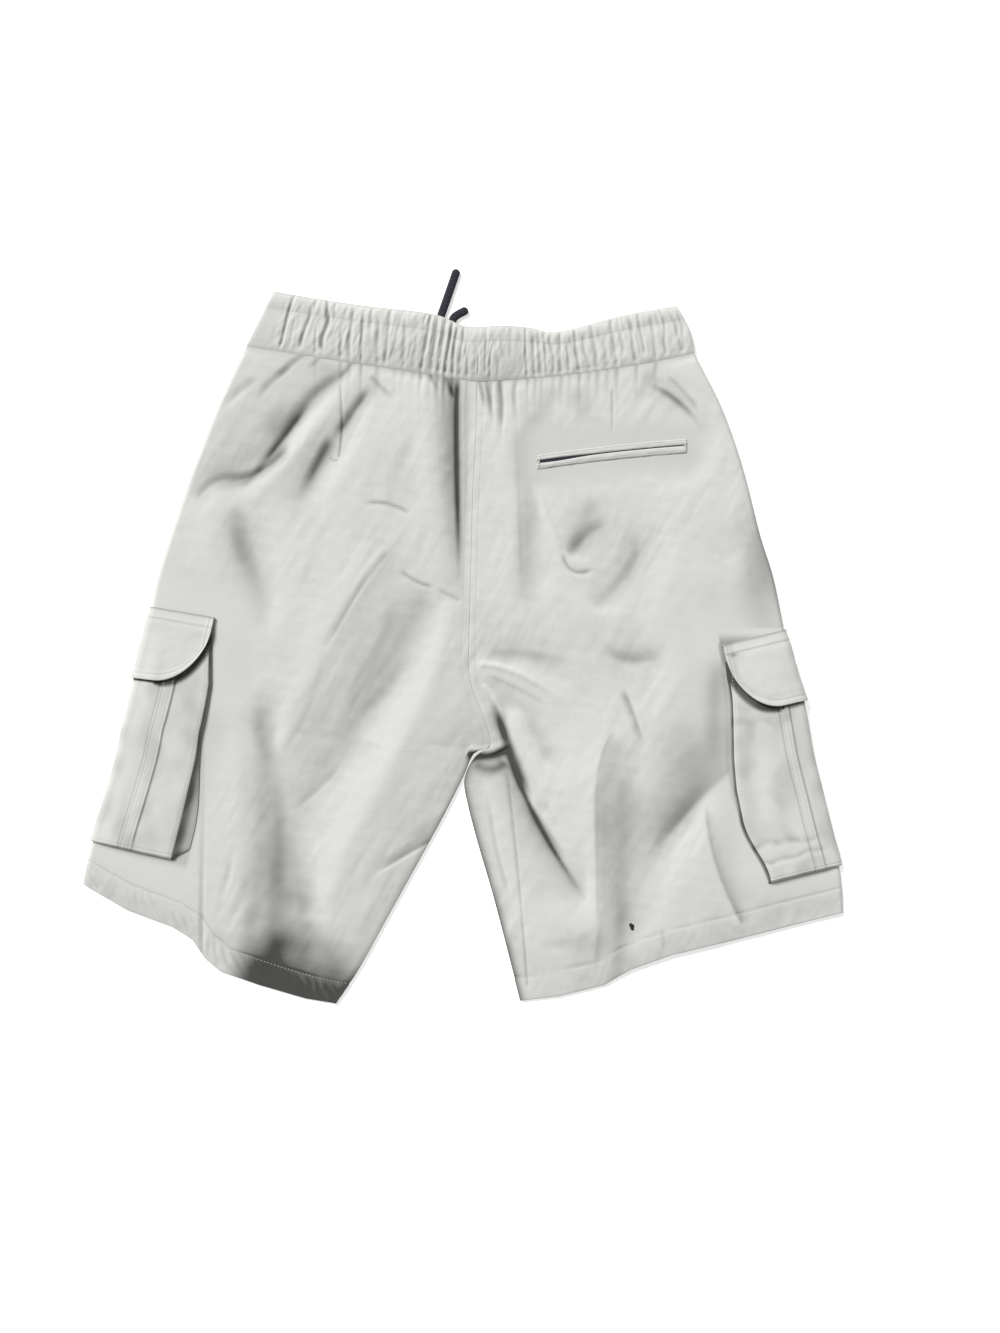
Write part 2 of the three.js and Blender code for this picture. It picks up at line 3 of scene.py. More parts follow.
import bpy
import numpy as np
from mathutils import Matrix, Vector


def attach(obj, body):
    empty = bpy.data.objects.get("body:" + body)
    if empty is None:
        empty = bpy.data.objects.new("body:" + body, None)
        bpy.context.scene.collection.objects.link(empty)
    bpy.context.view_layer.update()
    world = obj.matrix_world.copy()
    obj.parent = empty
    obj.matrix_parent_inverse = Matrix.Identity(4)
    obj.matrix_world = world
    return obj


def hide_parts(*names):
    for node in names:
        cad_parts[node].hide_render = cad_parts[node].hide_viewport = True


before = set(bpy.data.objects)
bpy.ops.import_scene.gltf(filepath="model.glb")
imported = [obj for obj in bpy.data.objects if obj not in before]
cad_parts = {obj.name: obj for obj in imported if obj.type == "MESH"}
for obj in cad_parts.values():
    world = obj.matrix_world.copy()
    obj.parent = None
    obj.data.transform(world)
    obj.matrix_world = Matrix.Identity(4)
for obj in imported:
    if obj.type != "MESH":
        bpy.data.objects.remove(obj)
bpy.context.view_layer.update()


# The surface, the camera and the light. The shorts were photographed square on, from above,
# on white: a broad soft light comes in low from beyond the waist and a little from the left.
MM = 0.001
VIEW_HEIGHT = 1.507
VIEW_CENTRE = (0.0315, -0.0162)
VIEW_LENS = 47.66
FILM = 36.0
SURFACE_DROP = 0.0003
SURFACE_SIZE = 5.0
SURFACE_COLOUR = (0.90, 0.90, 0.90, 1.0)
SURFACE_GLOW = 0.5
WINDOW_AT = (-0.50, 0.66, 0.74)
WINDOW_POWER = 3.7
WINDOW_SPREAD = 22
ROOM_LIGHT = 0.30


class Link:
    """A socket that takes part in shader sums."""

    def __init__(self, shader, socket):
        self.shader = shader
        self.socket = socket

    def _sum(self, operation, other):
        return self.shader.node("ShaderNodeMath", {"operation": operation}, {0: self, 1: other})

    def __add__(self, other):
        return self._sum("ADD", other)

    def __sub__(self, other):
        return self._sum("SUBTRACT", other)

    def __mul__(self, other):
        return self._sum("MULTIPLY", other)

    def __rsub__(self, other):
        return (self * -1.0) + other

    __radd__ = __add__
    __rmul__ = __mul__

    def clamp(self):
        return self.shader.node("ShaderNodeClamp", {}, {0: self})


class Shader:
    """A material's nodes, each made by one call."""

    def __init__(self, name):
        self.material = bpy.data.materials.new(name)
        self.material.use_nodes = True
        self.tree = self.material.node_tree
        self.tree.nodes.clear()

    def node(self, kind, settings, values, output=0):
        made = self.tree.nodes.new(kind)
        for key, value in settings.items():
            setattr(made, key, value)
        for key, value in values.items():
            if isinstance(value, Link):
                self.tree.links.new(value.socket, made.inputs[key])
            else:
                made.inputs[key].default_value = value
        return Link(self, made.outputs[output]) if made.outputs else None

    def mix_colour(self, share, first, second):
        return self.node("ShaderNodeMix", {"data_type": "RGBA"},
                         {0: share, 6: first, 7: second}, output=2)

    def finish(self, base, roughness, normal=None, **constants):
        values = {"Base Color": base, "Roughness": roughness}
        if normal is not None:
            values["Normal"] = normal
        values.update({key.replace("_", " "): value for key, value in constants.items()})
        surface = self.node("ShaderNodeBsdfPrincipled", {}, values)
        self.node("ShaderNodeOutputMaterial", {}, {"Surface": surface})
        return self.material


surface_mesh = bpy.data.meshes.new("surface")
half = SURFACE_SIZE / 2
surface_mesh.from_pydata(
    [(-half, -half, -SURFACE_DROP), (half, -half, -SURFACE_DROP),
     (half, half, -SURFACE_DROP), (-half, half, -SURFACE_DROP)], [], [(0, 1, 2, 3)])
surface = bpy.data.objects.new("surface", surface_mesh)
bpy.context.collection.objects.link(surface)
paper = Shader("white_surface")
surface_mesh.materials.append(paper.finish(
    SURFACE_COLOUR, 0.9, Specular_IOR_Level=0.1, Emission_Color=(1, 1, 1, 1),
    Emission_Strength=SURFACE_GLOW))

lens = bpy.data.cameras.new("overhead")
lens.lens = VIEW_LENS
lens.sensor_fit = "VERTICAL"
lens.sensor_height = FILM
camera = bpy.data.objects.new("overhead", lens)
camera.location = (*VIEW_CENTRE, VIEW_HEIGHT)
bpy.context.collection.objects.link(camera)
bpy.context.scene.camera = camera

window = bpy.data.lights.new("window", "SUN")
window.energy = WINDOW_POWER
window.angle = math.radians(WINDOW_SPREAD)
window_light = bpy.data.objects.new("window", window)
window_light.rotation_euler = Vector(WINDOW_AT).to_track_quat("Z", "Y").to_euler()
bpy.context.collection.objects.link(window_light)
world = bpy.data.worlds.new("room")
world.use_nodes = True
room = world.node_tree.nodes["Background"]
room.inputs["Color"].default_value = (1, 1, 1, 1)
room.inputs["Strength"].default_value = ROOM_LIGHT
bpy.context.scene.world = world
bpy.context.scene.view_settings.view_transform = "Standard"
bpy.context.scene.view_settings.look = "None"


# The drawstring: two free ends of one flat braided cord, near black, cut and melted round.
# Each leaves its eyelet in the front of the band, runs out under it and lies on the surface.
CORD_WIDTH = 7.0
CORD_THICKNESS = 3.6
CORD_RAISED = 0.1
CORD_ROUTES = {
    "left": [(-32, 254), (-24.5, 268), (-19.5, 281), (-5, 322.5)],
    "right": [(6, 249), (-7.5, 265), (-8.5, 280), (4, 288.5)],
}
CORD_RING = 28
CORD_TIP = 3.2
CORD_STEPS = 150
CORD_SQUARENESS = 0.8
PATH_STEP = 6
SPLINE_STEPS = 60
BRAID_PITCH = 1.9
BRAID_HALF_WAVE = 0.31
BRAID_ROUND = 2.5
BRAID_DARK = (0.004, 0.004, 0.010, 1)
BRAID_LIGHT = (0.016, 0.016, 0.034, 1)


def dressed(piece, node=None):
    """Fixes a piece to the one body and hides the CAD node that it stands for, if there is one."""
    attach(piece, "root")
    if node is not None:
        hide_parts(node)
    return piece


def quad_mesh(name, points, closed_across=False, material=None, marks=None, caps=False):
    """A smooth mesh through a grid of points in millimetres, rows by columns."""
    rows, columns = points.shape[:2]
    index = np.arange(rows * columns).reshape(rows, columns)
    if closed_across:
        index = np.concatenate([index, index[:, :1]], axis=1)
    faces = np.stack(
        [index[:-1, :-1], index[:-1, 1:], index[1:, 1:], index[1:, :-1]], axis=-1
    ).reshape(-1, 4)
    mesh = bpy.data.meshes.new(name)
    mesh.vertices.add(rows * columns)
    mesh.vertices.foreach_set("co", (points * MM).astype(np.float32).ravel())
    cap_faces = [index[0, :-1][::-1], index[-1, :-1]] if caps else []
    lengths = [4] * len(faces) + [len(face) for face in cap_faces]
    corners = np.concatenate([faces.ravel()] + [np.asarray(face) for face in cap_faces])
    mesh.loops.add(len(corners))
    mesh.loops.foreach_set("vertex_index", corners.astype(np.int32))
    mesh.polygons.add(len(lengths))
    starts = np.concatenate([[0], np.cumsum(lengths)[:-1]])
    mesh.polygons.foreach_set("loop_start", starts.astype(np.int32))
    mesh.polygons.foreach_set("use_smooth", np.ones(len(lengths), dtype=bool))
    for mark, values in (marks or {}).items():
        wide = values.ndim == 3
        layer = mesh.attributes.new(mark, "FLOAT_VECTOR" if wide else "FLOAT", "POINT")
        layer.data.foreach_set("vector" if wide else "value",
                               values.astype(np.float32).ravel())
    mesh.update(calc_edges=True)
    mesh.validate()
    if material is not None:
        mesh.materials.append(material)
    piece = bpy.data.objects.new(name, mesh)
    bpy.context.collection.objects.link(piece)
    return piece


def distances_along(points):
    """How far each point of a line lies along it."""
    return np.concatenate([[0], np.cumsum(np.linalg.norm(np.diff(points, axis=0), axis=1))])


def spline(points, count):
    """Evenly spaced points on a smooth curve through a few, by chord length."""
    knots = np.asarray(points, float)
    ends = [2 * knots[0] - knots[1], 2 * knots[-1] - knots[-2]]
    knots = np.vstack([ends[0], knots, ends[1]])
    spans = np.linalg.norm(np.diff(knots, axis=0), axis=1)
    times = np.concatenate([[0], np.cumsum(np.sqrt(spans))])
    fine = []
    for i in range(1, len(knots) - 2):
        t = np.linspace(times[i], times[i + 1], SPLINE_STEPS, endpoint=False)[:, None]
        t0, t1, t2, t3 = times[i - 1:i + 3]
        p0, p1, p2, p3 = knots[i - 1:i + 3]
        a1 = (t1 - t) / (t1 - t0) * p0 + (t - t0) / (t1 - t0) * p1
        a2 = (t2 - t) / (t2 - t1) * p1 + (t - t1) / (t2 - t1) * p2
        a3 = (t3 - t) / (t3 - t2) * p2 + (t - t2) / (t3 - t2) * p3
        b1 = (t2 - t) / (t2 - t0) * a1 + (t - t0) / (t2 - t0) * a2
        b2 = (t3 - t) / (t3 - t1) * a2 + (t - t1) / (t3 - t1) * a3
        fine.append((t2 - t) / (t2 - t1) * b1 + (t - t1) / (t2 - t1) * b2)
    fine = np.vstack(fine + [knots[-2]])
    travelled = distances_along(fine)
    wanted = np.linspace(0, travelled[-1], count)
    points = np.stack([np.interp(wanted, travelled, fine[:, k]) for k in range(2)], axis=1)
    return points, travelled[-1]


def cord_finish():
    """Near-black braid: two sets of slanting strands that cross."""
    shader = Shader("navy_braid")
    place = shader.node("ShaderNodeAttribute", {"attribute_name": "braid"}, {}, output=1)
    flipped = shader.node("ShaderNodeVectorMath", {"operation": "MULTIPLY"},
                          {0: place, 1: (-1.0, 1.0, 1.0)})
    first, second = (
        shader.node("ShaderNodeTexWave", {"wave_type": "BANDS", "bands_direction": "DIAGONAL"},
                    {"Vector": vector, "Scale": 1.0, "Distortion": 0.0}, output=1)
        for vector in (place, flipped))
    strands = (first + second) * 0.5
    base = shader.mix_colour(strands, BRAID_DARK, BRAID_LIGHT)
    normal = shader.node("ShaderNodeBump", {},
                         {"Strength": 0.7, "Distance": 0.0005, "Height": strands})
    return shader.finish(base, 0.78, normal, Sheen_Weight=0.15, Sheen_Roughness=0.5)


def squared(wave):
    """A sine or cosine made fuller, so that a ring of them is a flat cord's section."""
    return np.sign(wave) * np.abs(wave) ** CORD_SQUARENESS


braid = cord_finish()
for side, route in CORD_ROUTES.items():
    middle, cord_length = spline(route, CORD_STEPS)
    ahead = np.gradient(middle, axis=0)
    ahead /= np.linalg.norm(ahead, axis=1)[:, None]
    aside = np.stack([-ahead[:, 1], ahead[:, 0]], axis=1)
    travelled = np.linspace(0, cord_length, CORD_STEPS)
    left_over = np.minimum(cord_length - travelled, CORD_TIP) / CORD_TIP
    taper = np.sqrt(np.maximum(1 - (1 - left_over) ** 2, 0.02))
    turn = np.arange(CORD_RING) / CORD_RING * 2 * np.pi
    across = squared(np.cos(turn)) * CORD_WIDTH / 2
    upward = squared(np.sin(turn)) * CORD_THICKNESS / 2
    centre_height = CORD_RAISED + CORD_THICKNESS / 2
    ring = np.zeros((CORD_STEPS, CORD_RING, 3))
    ring[..., :2] = middle[:, None] + aside[:, None] * (across[None, :] * taper[:, None])[..., None]
    ring[..., 2] = centre_height + upward[None, :] * (0.35 + 0.65 * taper[:, None])
    girth = np.cumsum(np.hypot(np.diff(across, append=across[0]), np.diff(upward, append=upward[0])))
    braid_place = np.zeros_like(ring)
    braid_place[..., 0] = travelled[:, None] / BRAID_PITCH * BRAID_HALF_WAVE
    braid_place[..., 1] = np.abs(girth / girth[-1] - 0.5)[None, :] * BRAID_ROUND
    cord = quad_mesh(f"cord_{side}", ring, closed_across=True, material=braid,
                     marks={"braid": braid_place}, caps=True)
    dressed(cord, f"drawstring_{side}")
    path = [(x * MM, y * MM, centre_height * MM) for x, y in middle[::PATH_STEP]]
    path.append((*(middle[-1] * MM), centre_height * MM))
    cord_length * MM


# The legs: two back panels over two front panels of pale cotton twill, 1.2 mm with their
# turned seams, sewn down the sides, the centre and the inside leg, and hemmed at the foot.
WALL = 1.2
SEAM_GAP = 0.3
LAYER_GAP = 0.5
LAID_HEIGHT = 5.6
LOWEST_TROUGH = 1.7
FOLD_REACH = 4.0
FOLD_ARC = 5.0
HEM_DEPTH = 21.0

# A leg's edges are given at 16 stations from the waist to the hem. The inside leg is a seam
# of its own below the crotch, and the ends take the dip of the waist and the drop of the hem.
LAST_STATION = 15
WAIST_SHAPED_TO = 1.5
SEAMED = (8, 9.4)
SEAMED_MIDDLE = 8.6
HEM_SHAPED_FROM = 12.2
STATION_STEP = 0.02
MEASURES = 301
CENTRE_SEAM = [
    (12, 226.5), (11, 178), (8.5, 130.5), (7, 75), (6, 32), (5.5, -21), (12, -44.5), (20.5, -66),
    (23, -83.5),
]
LEGS = {
    "left": {
        "outer": [
            (-184.5, 256.5), (-207.5, 208.5), (-230.5, 149), (-249, 95.5), (-260, 59),
            (-265.5, 27.5), (-273.5, -8), (-279.5, -36), (-285, -57.5), (-288, -67.5),
            (-293, -91.5), (-302, -123.5), (-310, -148.5), (-316, -168), (-320.5, -185.5),
            (-323.5, -201),
        ],
        "inner": CENTRE_SEAM + [
            (9.5, -90.5), (0, -111), (-18, -146.5), (-41, -188.5), (-64, -230), (-87.5, -272.5),
            (-108, -303),
        ],
        "waist_drop": 0.5,
        "hem_drop": [
            (0, 0), (0.17, 4), (0.35, 0), (0.43, 3), (0.48, 14), (0.54, 19), (0.7, 15), (0.88, 8),
            (1, 0),
        ],
        "flap_top": 237,
        "pocket_skew": 0,
        "pocket_widths": [(0, 55), (0.24, 64), (0.6, 68), (1, 71)],
        "pleat": (24, 35),
    },
    "right": {
        "outer": [
            (197, 250.5), (220, 205.5), (238, 154.5), (252.5, 98), (264.5, 59), (274, 9),
            (279.5, -15), (286, -38), (291, -63.5), (293, -74.5), (296.5, -93), (305, -127),
            (312.5, -157), (319.5, -182.5), (322.5, -204.5), (323.5, -225),
        ],
        "inner": CENTRE_SEAM + [
            (10, -93), (1, -112.5), (4, -134.5), (13.5, -170.5), (24.5, -208), (36.5, -253.5),
            (48.5, -300.5),
        ],
        "waist_drop": 4.7,
        "hem_drop": [(0, 0), (0.34, -2), (0.53, -4), (0.66, -1), (0.74, 6), (0.88, 5), (1, 0)],
        "flap_top": 249,
        "pocket_skew": 0.13,
        "pocket_widths": [(0, 55), (0.24, 62), (0.6, 73), (1, 76)],
        "pleat": (14, 22),
    },
}
POCKET_DROP = 205
MOUTH_DROP = 14
FLAP_LENGTH = 61
POCKET_UNDER = 66
FLAP_WIDTH = 55
FLAP_CORNER = (38, 50)

# The large folds: crests and hollows that the cloth hangs between, as it lies. Each point
# is x, y and the cloth's height there.
RELIEF_LINES = [
    # hip
    [(-171, 241, 6.5), (-202, 193, 8.2), (-218, 163, 7.6)],
    # hollow below the band
    [(-99, 239, 4.8), (-123, 219, 4.2), (-140, 197, 3.4),
     (-164, 166, 2.4), (-211, 144, 4), (-227, 132, 5)],
    # ridge between the hollows
    [(-89, 231, 7), (-120, 193, 8.8), (-151, 155, 9), (-179, 127, 8.5)],
    # second hollow
    [(-75, 223, 5.2), (-99, 189, 4.2), (-123, 155, 3.5), (-140, 124, 5)],
    # rise past it
    [(-64, 212, 7.2), (-93, 164, 8.8), (-123, 110, 8.6)],
    # hollow above the pocket
    [(-184, 121, 6.6), (-187, 91, 4.6), (-176, 57, 4.8), (-171, 23, 6.4)],
    # rise beside it
    [(-212, 117, 7.6), (-215, 74, 8.4), (-205, 30, 7.8)],
    # front of the thigh
    [(-147, 104, 8.2), (-157, 40, 9), (-162, -2, 9), (-174, -36, 8.2)],
    # long step
    [(-54, 93, 8.5), (-76, 68, 10.5), (-96, 37, 11.8),
     (-120, -7, 11.8), (-145, -51, 10.5), (-152, -85, 9)],
    # below the step
    [(-30, 40, 5.5), (-54, -2, 4), (-89, -62, 3.4), (-128, -121, 3.4), (-145, -164, 4)],
    # inner leg
    [(-9, 32, 8.5), (-28, -36, 11), (-64, -104, 12), (-99, -172, 11), (-113, -213, 9)],
    # hollow down the leg
    [(-171, -40, 7), (-165, -74, 5), (-166, -121, 3.2),
     (-169, -172, 2.8), (-175, -215, 2.6), (-181, -244, 2.6)],
    # the same on its inner side
    [(-152, -104, 5.2), (-148, -138, 3.8), (-144, -176, 3), (-136, -215, 2.8), (-132, -240, 2.8)],
    # beside the pocket
    [(-196, -45, 8.2), (-191, -113, 8.2), (-186, -172, 7.8), (-193, -219, 7)],
    # seat
    [(-49, 215, 8.4), (-45, 168, 8.6), (-43, 125, 8.2)],
    # drape
    [(-30, 229, 8.6), (-28, 185, 10), (-25, 134, 10.2), (-14, 57, 8)],
    # foot of the drape
    [(-5, 229, 4.4), (-4, 185, 3.8), (-3, 125, 4), (0, 45, 5.4)],
    # centre seam
    [(8, 227, 5.2), (6, 151, 5.4), (6, 74, 5.8), (5, -2, 6), (11, -45, 5.4)],
    # left hem
    [(-321, -201, 4), (-266, -221, 4), (-228, -244, 4),
     (-211, -272, 3.4), (-171, -287, 2), (-109, -301, 1.8)],
    # above the hem
    [(-300, -182, 6), (-202, -236, 5.5), (-181, -242, 4.4),
     (-139, -230, 5.5), (-113, -236, 6.5), (-77, -219, 6.5)],
    # left inner edge
    [(3, -97, 4), (-23, -147, 4), (-54, -202, 3.4), (-100, -291, 1.9)],
    # gathers
    [(45, 210, 7.2), (45, 185, 8.2), (47, 108, 8.4), (41, 36, 8)],
    # beside the gathers
    [(59, 193, 5.4), (60, 142, 5), (57, 91, 5.2), (55, 40, 6)],
    # near the centre seam
    [(25, 210, 6.6), (26, 125, 6.8), (25, 40, 7.4)],
    # hook
    [(64, 141, 6.8), (73, 110, 8), (85, 83, 8.6), (101, 68, 8)],
    # inside the hook
    [(128, 103, 6.2), (110, 95, 5.3), (94, 81, 5.4)],
    # under the hook
    [(74, 49, 8.8), (108, 30, 9), (133, 25, 8.6)],
    # soft line
    [(150, 93, 5.4), (143, 64, 4.8), (116, 35, 6)],
    # right seat
    [(205, 176, 7.5), (193, 125, 9), (181, 74, 9.2), (167, 25, 9)],
    # side
    [(234, 178, 8), (246, 104, 9.2), (231, 40, 9.4), (212, -2, 9)],
    # side seam
    [(241, 159, 5.4), (256, 115, 4.4), (269, 74, 4), (280, 27, 4.4)],
    # soft dip
    [(120, -2, 6.8), (144, -11, 5.6), (169, -6, 6.6)],
    # thin ridge
    [(14, -16, 7), (48, -23, 8.4), (88, -48, 8.8)],
    # above the thin ridge
    [(20, -2, 5.2), (57, -7, 5.6), (93, -21, 7)],
    # below the thin ridge
    [(25, -31, 5), (52, -55, 5.2), (71, -96, 6)],
    # main fold
    [(45, -57, 8.2), (71, -118, 10), (93, -164, 10), (111, -198, 7.8)],
    # foot of the main fold
    [(25, -63, 3), (48, -130, 2.4), (78, -172, 2.6), (103, -211, 4.4)],
    # inner strip
    [(20, -121, 4.2), (31, -172, 5), (57, -240, 5.4), (82, -261, 5.2)],
    # right inner edge
    [(9, -102, 2.6), (25, -181, 3), (48, -287, 2.6)],
    # tall ridge
    [(128, -72, 10.2), (116, -99, 12), (112, -138, 12.6), (113, -181, 12), (115, -240, 9)],
    # foot of the tall ridge
    [(139, -118, 6.4), (139, -164, 5.2), (138, -206, 4.6), (135, -253, 4.4)],
    # between
    [(150, -74, 9.2), (146, -104, 8), (144, -121, 7)],
    # top of the broad hollow
    [(201, -6, 9.4), (171, -49, 9.6), (159, -83, 9.4), (154, -121, 7.4)],
    # broad hollow
    [(225, -45, 4.6), (220, -83, 3.9), (207, -119, 3.7), (183, -150, 3.9), (152, -187, 5)],
    # past the broad hollow
    [(234, -118, 7), (215, -140, 8.4), (196, -172, 8.9), (178, -215, 8.4), (174, -240, 7.4)],
    # apex
    [(212, -140, 9.4), (215, -172, 9.6), (225, -206, 8.6), (239, -236, 6)],
    # right of the apex
    [(230, -172, 5), (239, -210, 4.6)],
    # hip crease
    [(159, 227, 4.6), (184, 209, 4.2), (208, 181, 6)],
    # hip
    [(181, 238, 7), (201, 226, 8.2), (220, 198, 8)],
    # beside the back pocket
    [(150, 204, 6.6), (193, 158, 7.6)],
    # right hem
    [(48, -296, 3), (87, -295, 3), (116, -287, 3.4), (159, -267, 5),
     (201, -255, 5), (240, -244, 4), (325, -225, 4.4)],
    # above the right hem
    [(65, -244, 5.4), (99, -257, 4.4), (133, -253, 4.6), (167, -244, 7), (201, -236, 6.8)],
]
RELIEF_CELL = 2.5
RELIEF_LEVELS = 4
RELIEF_FROM = (-335.0, -315.0)
RELIEF_CELLS = (272, 232)
RELIEF_SWEEPS = 120
RELIEF_ROUNDING = 1
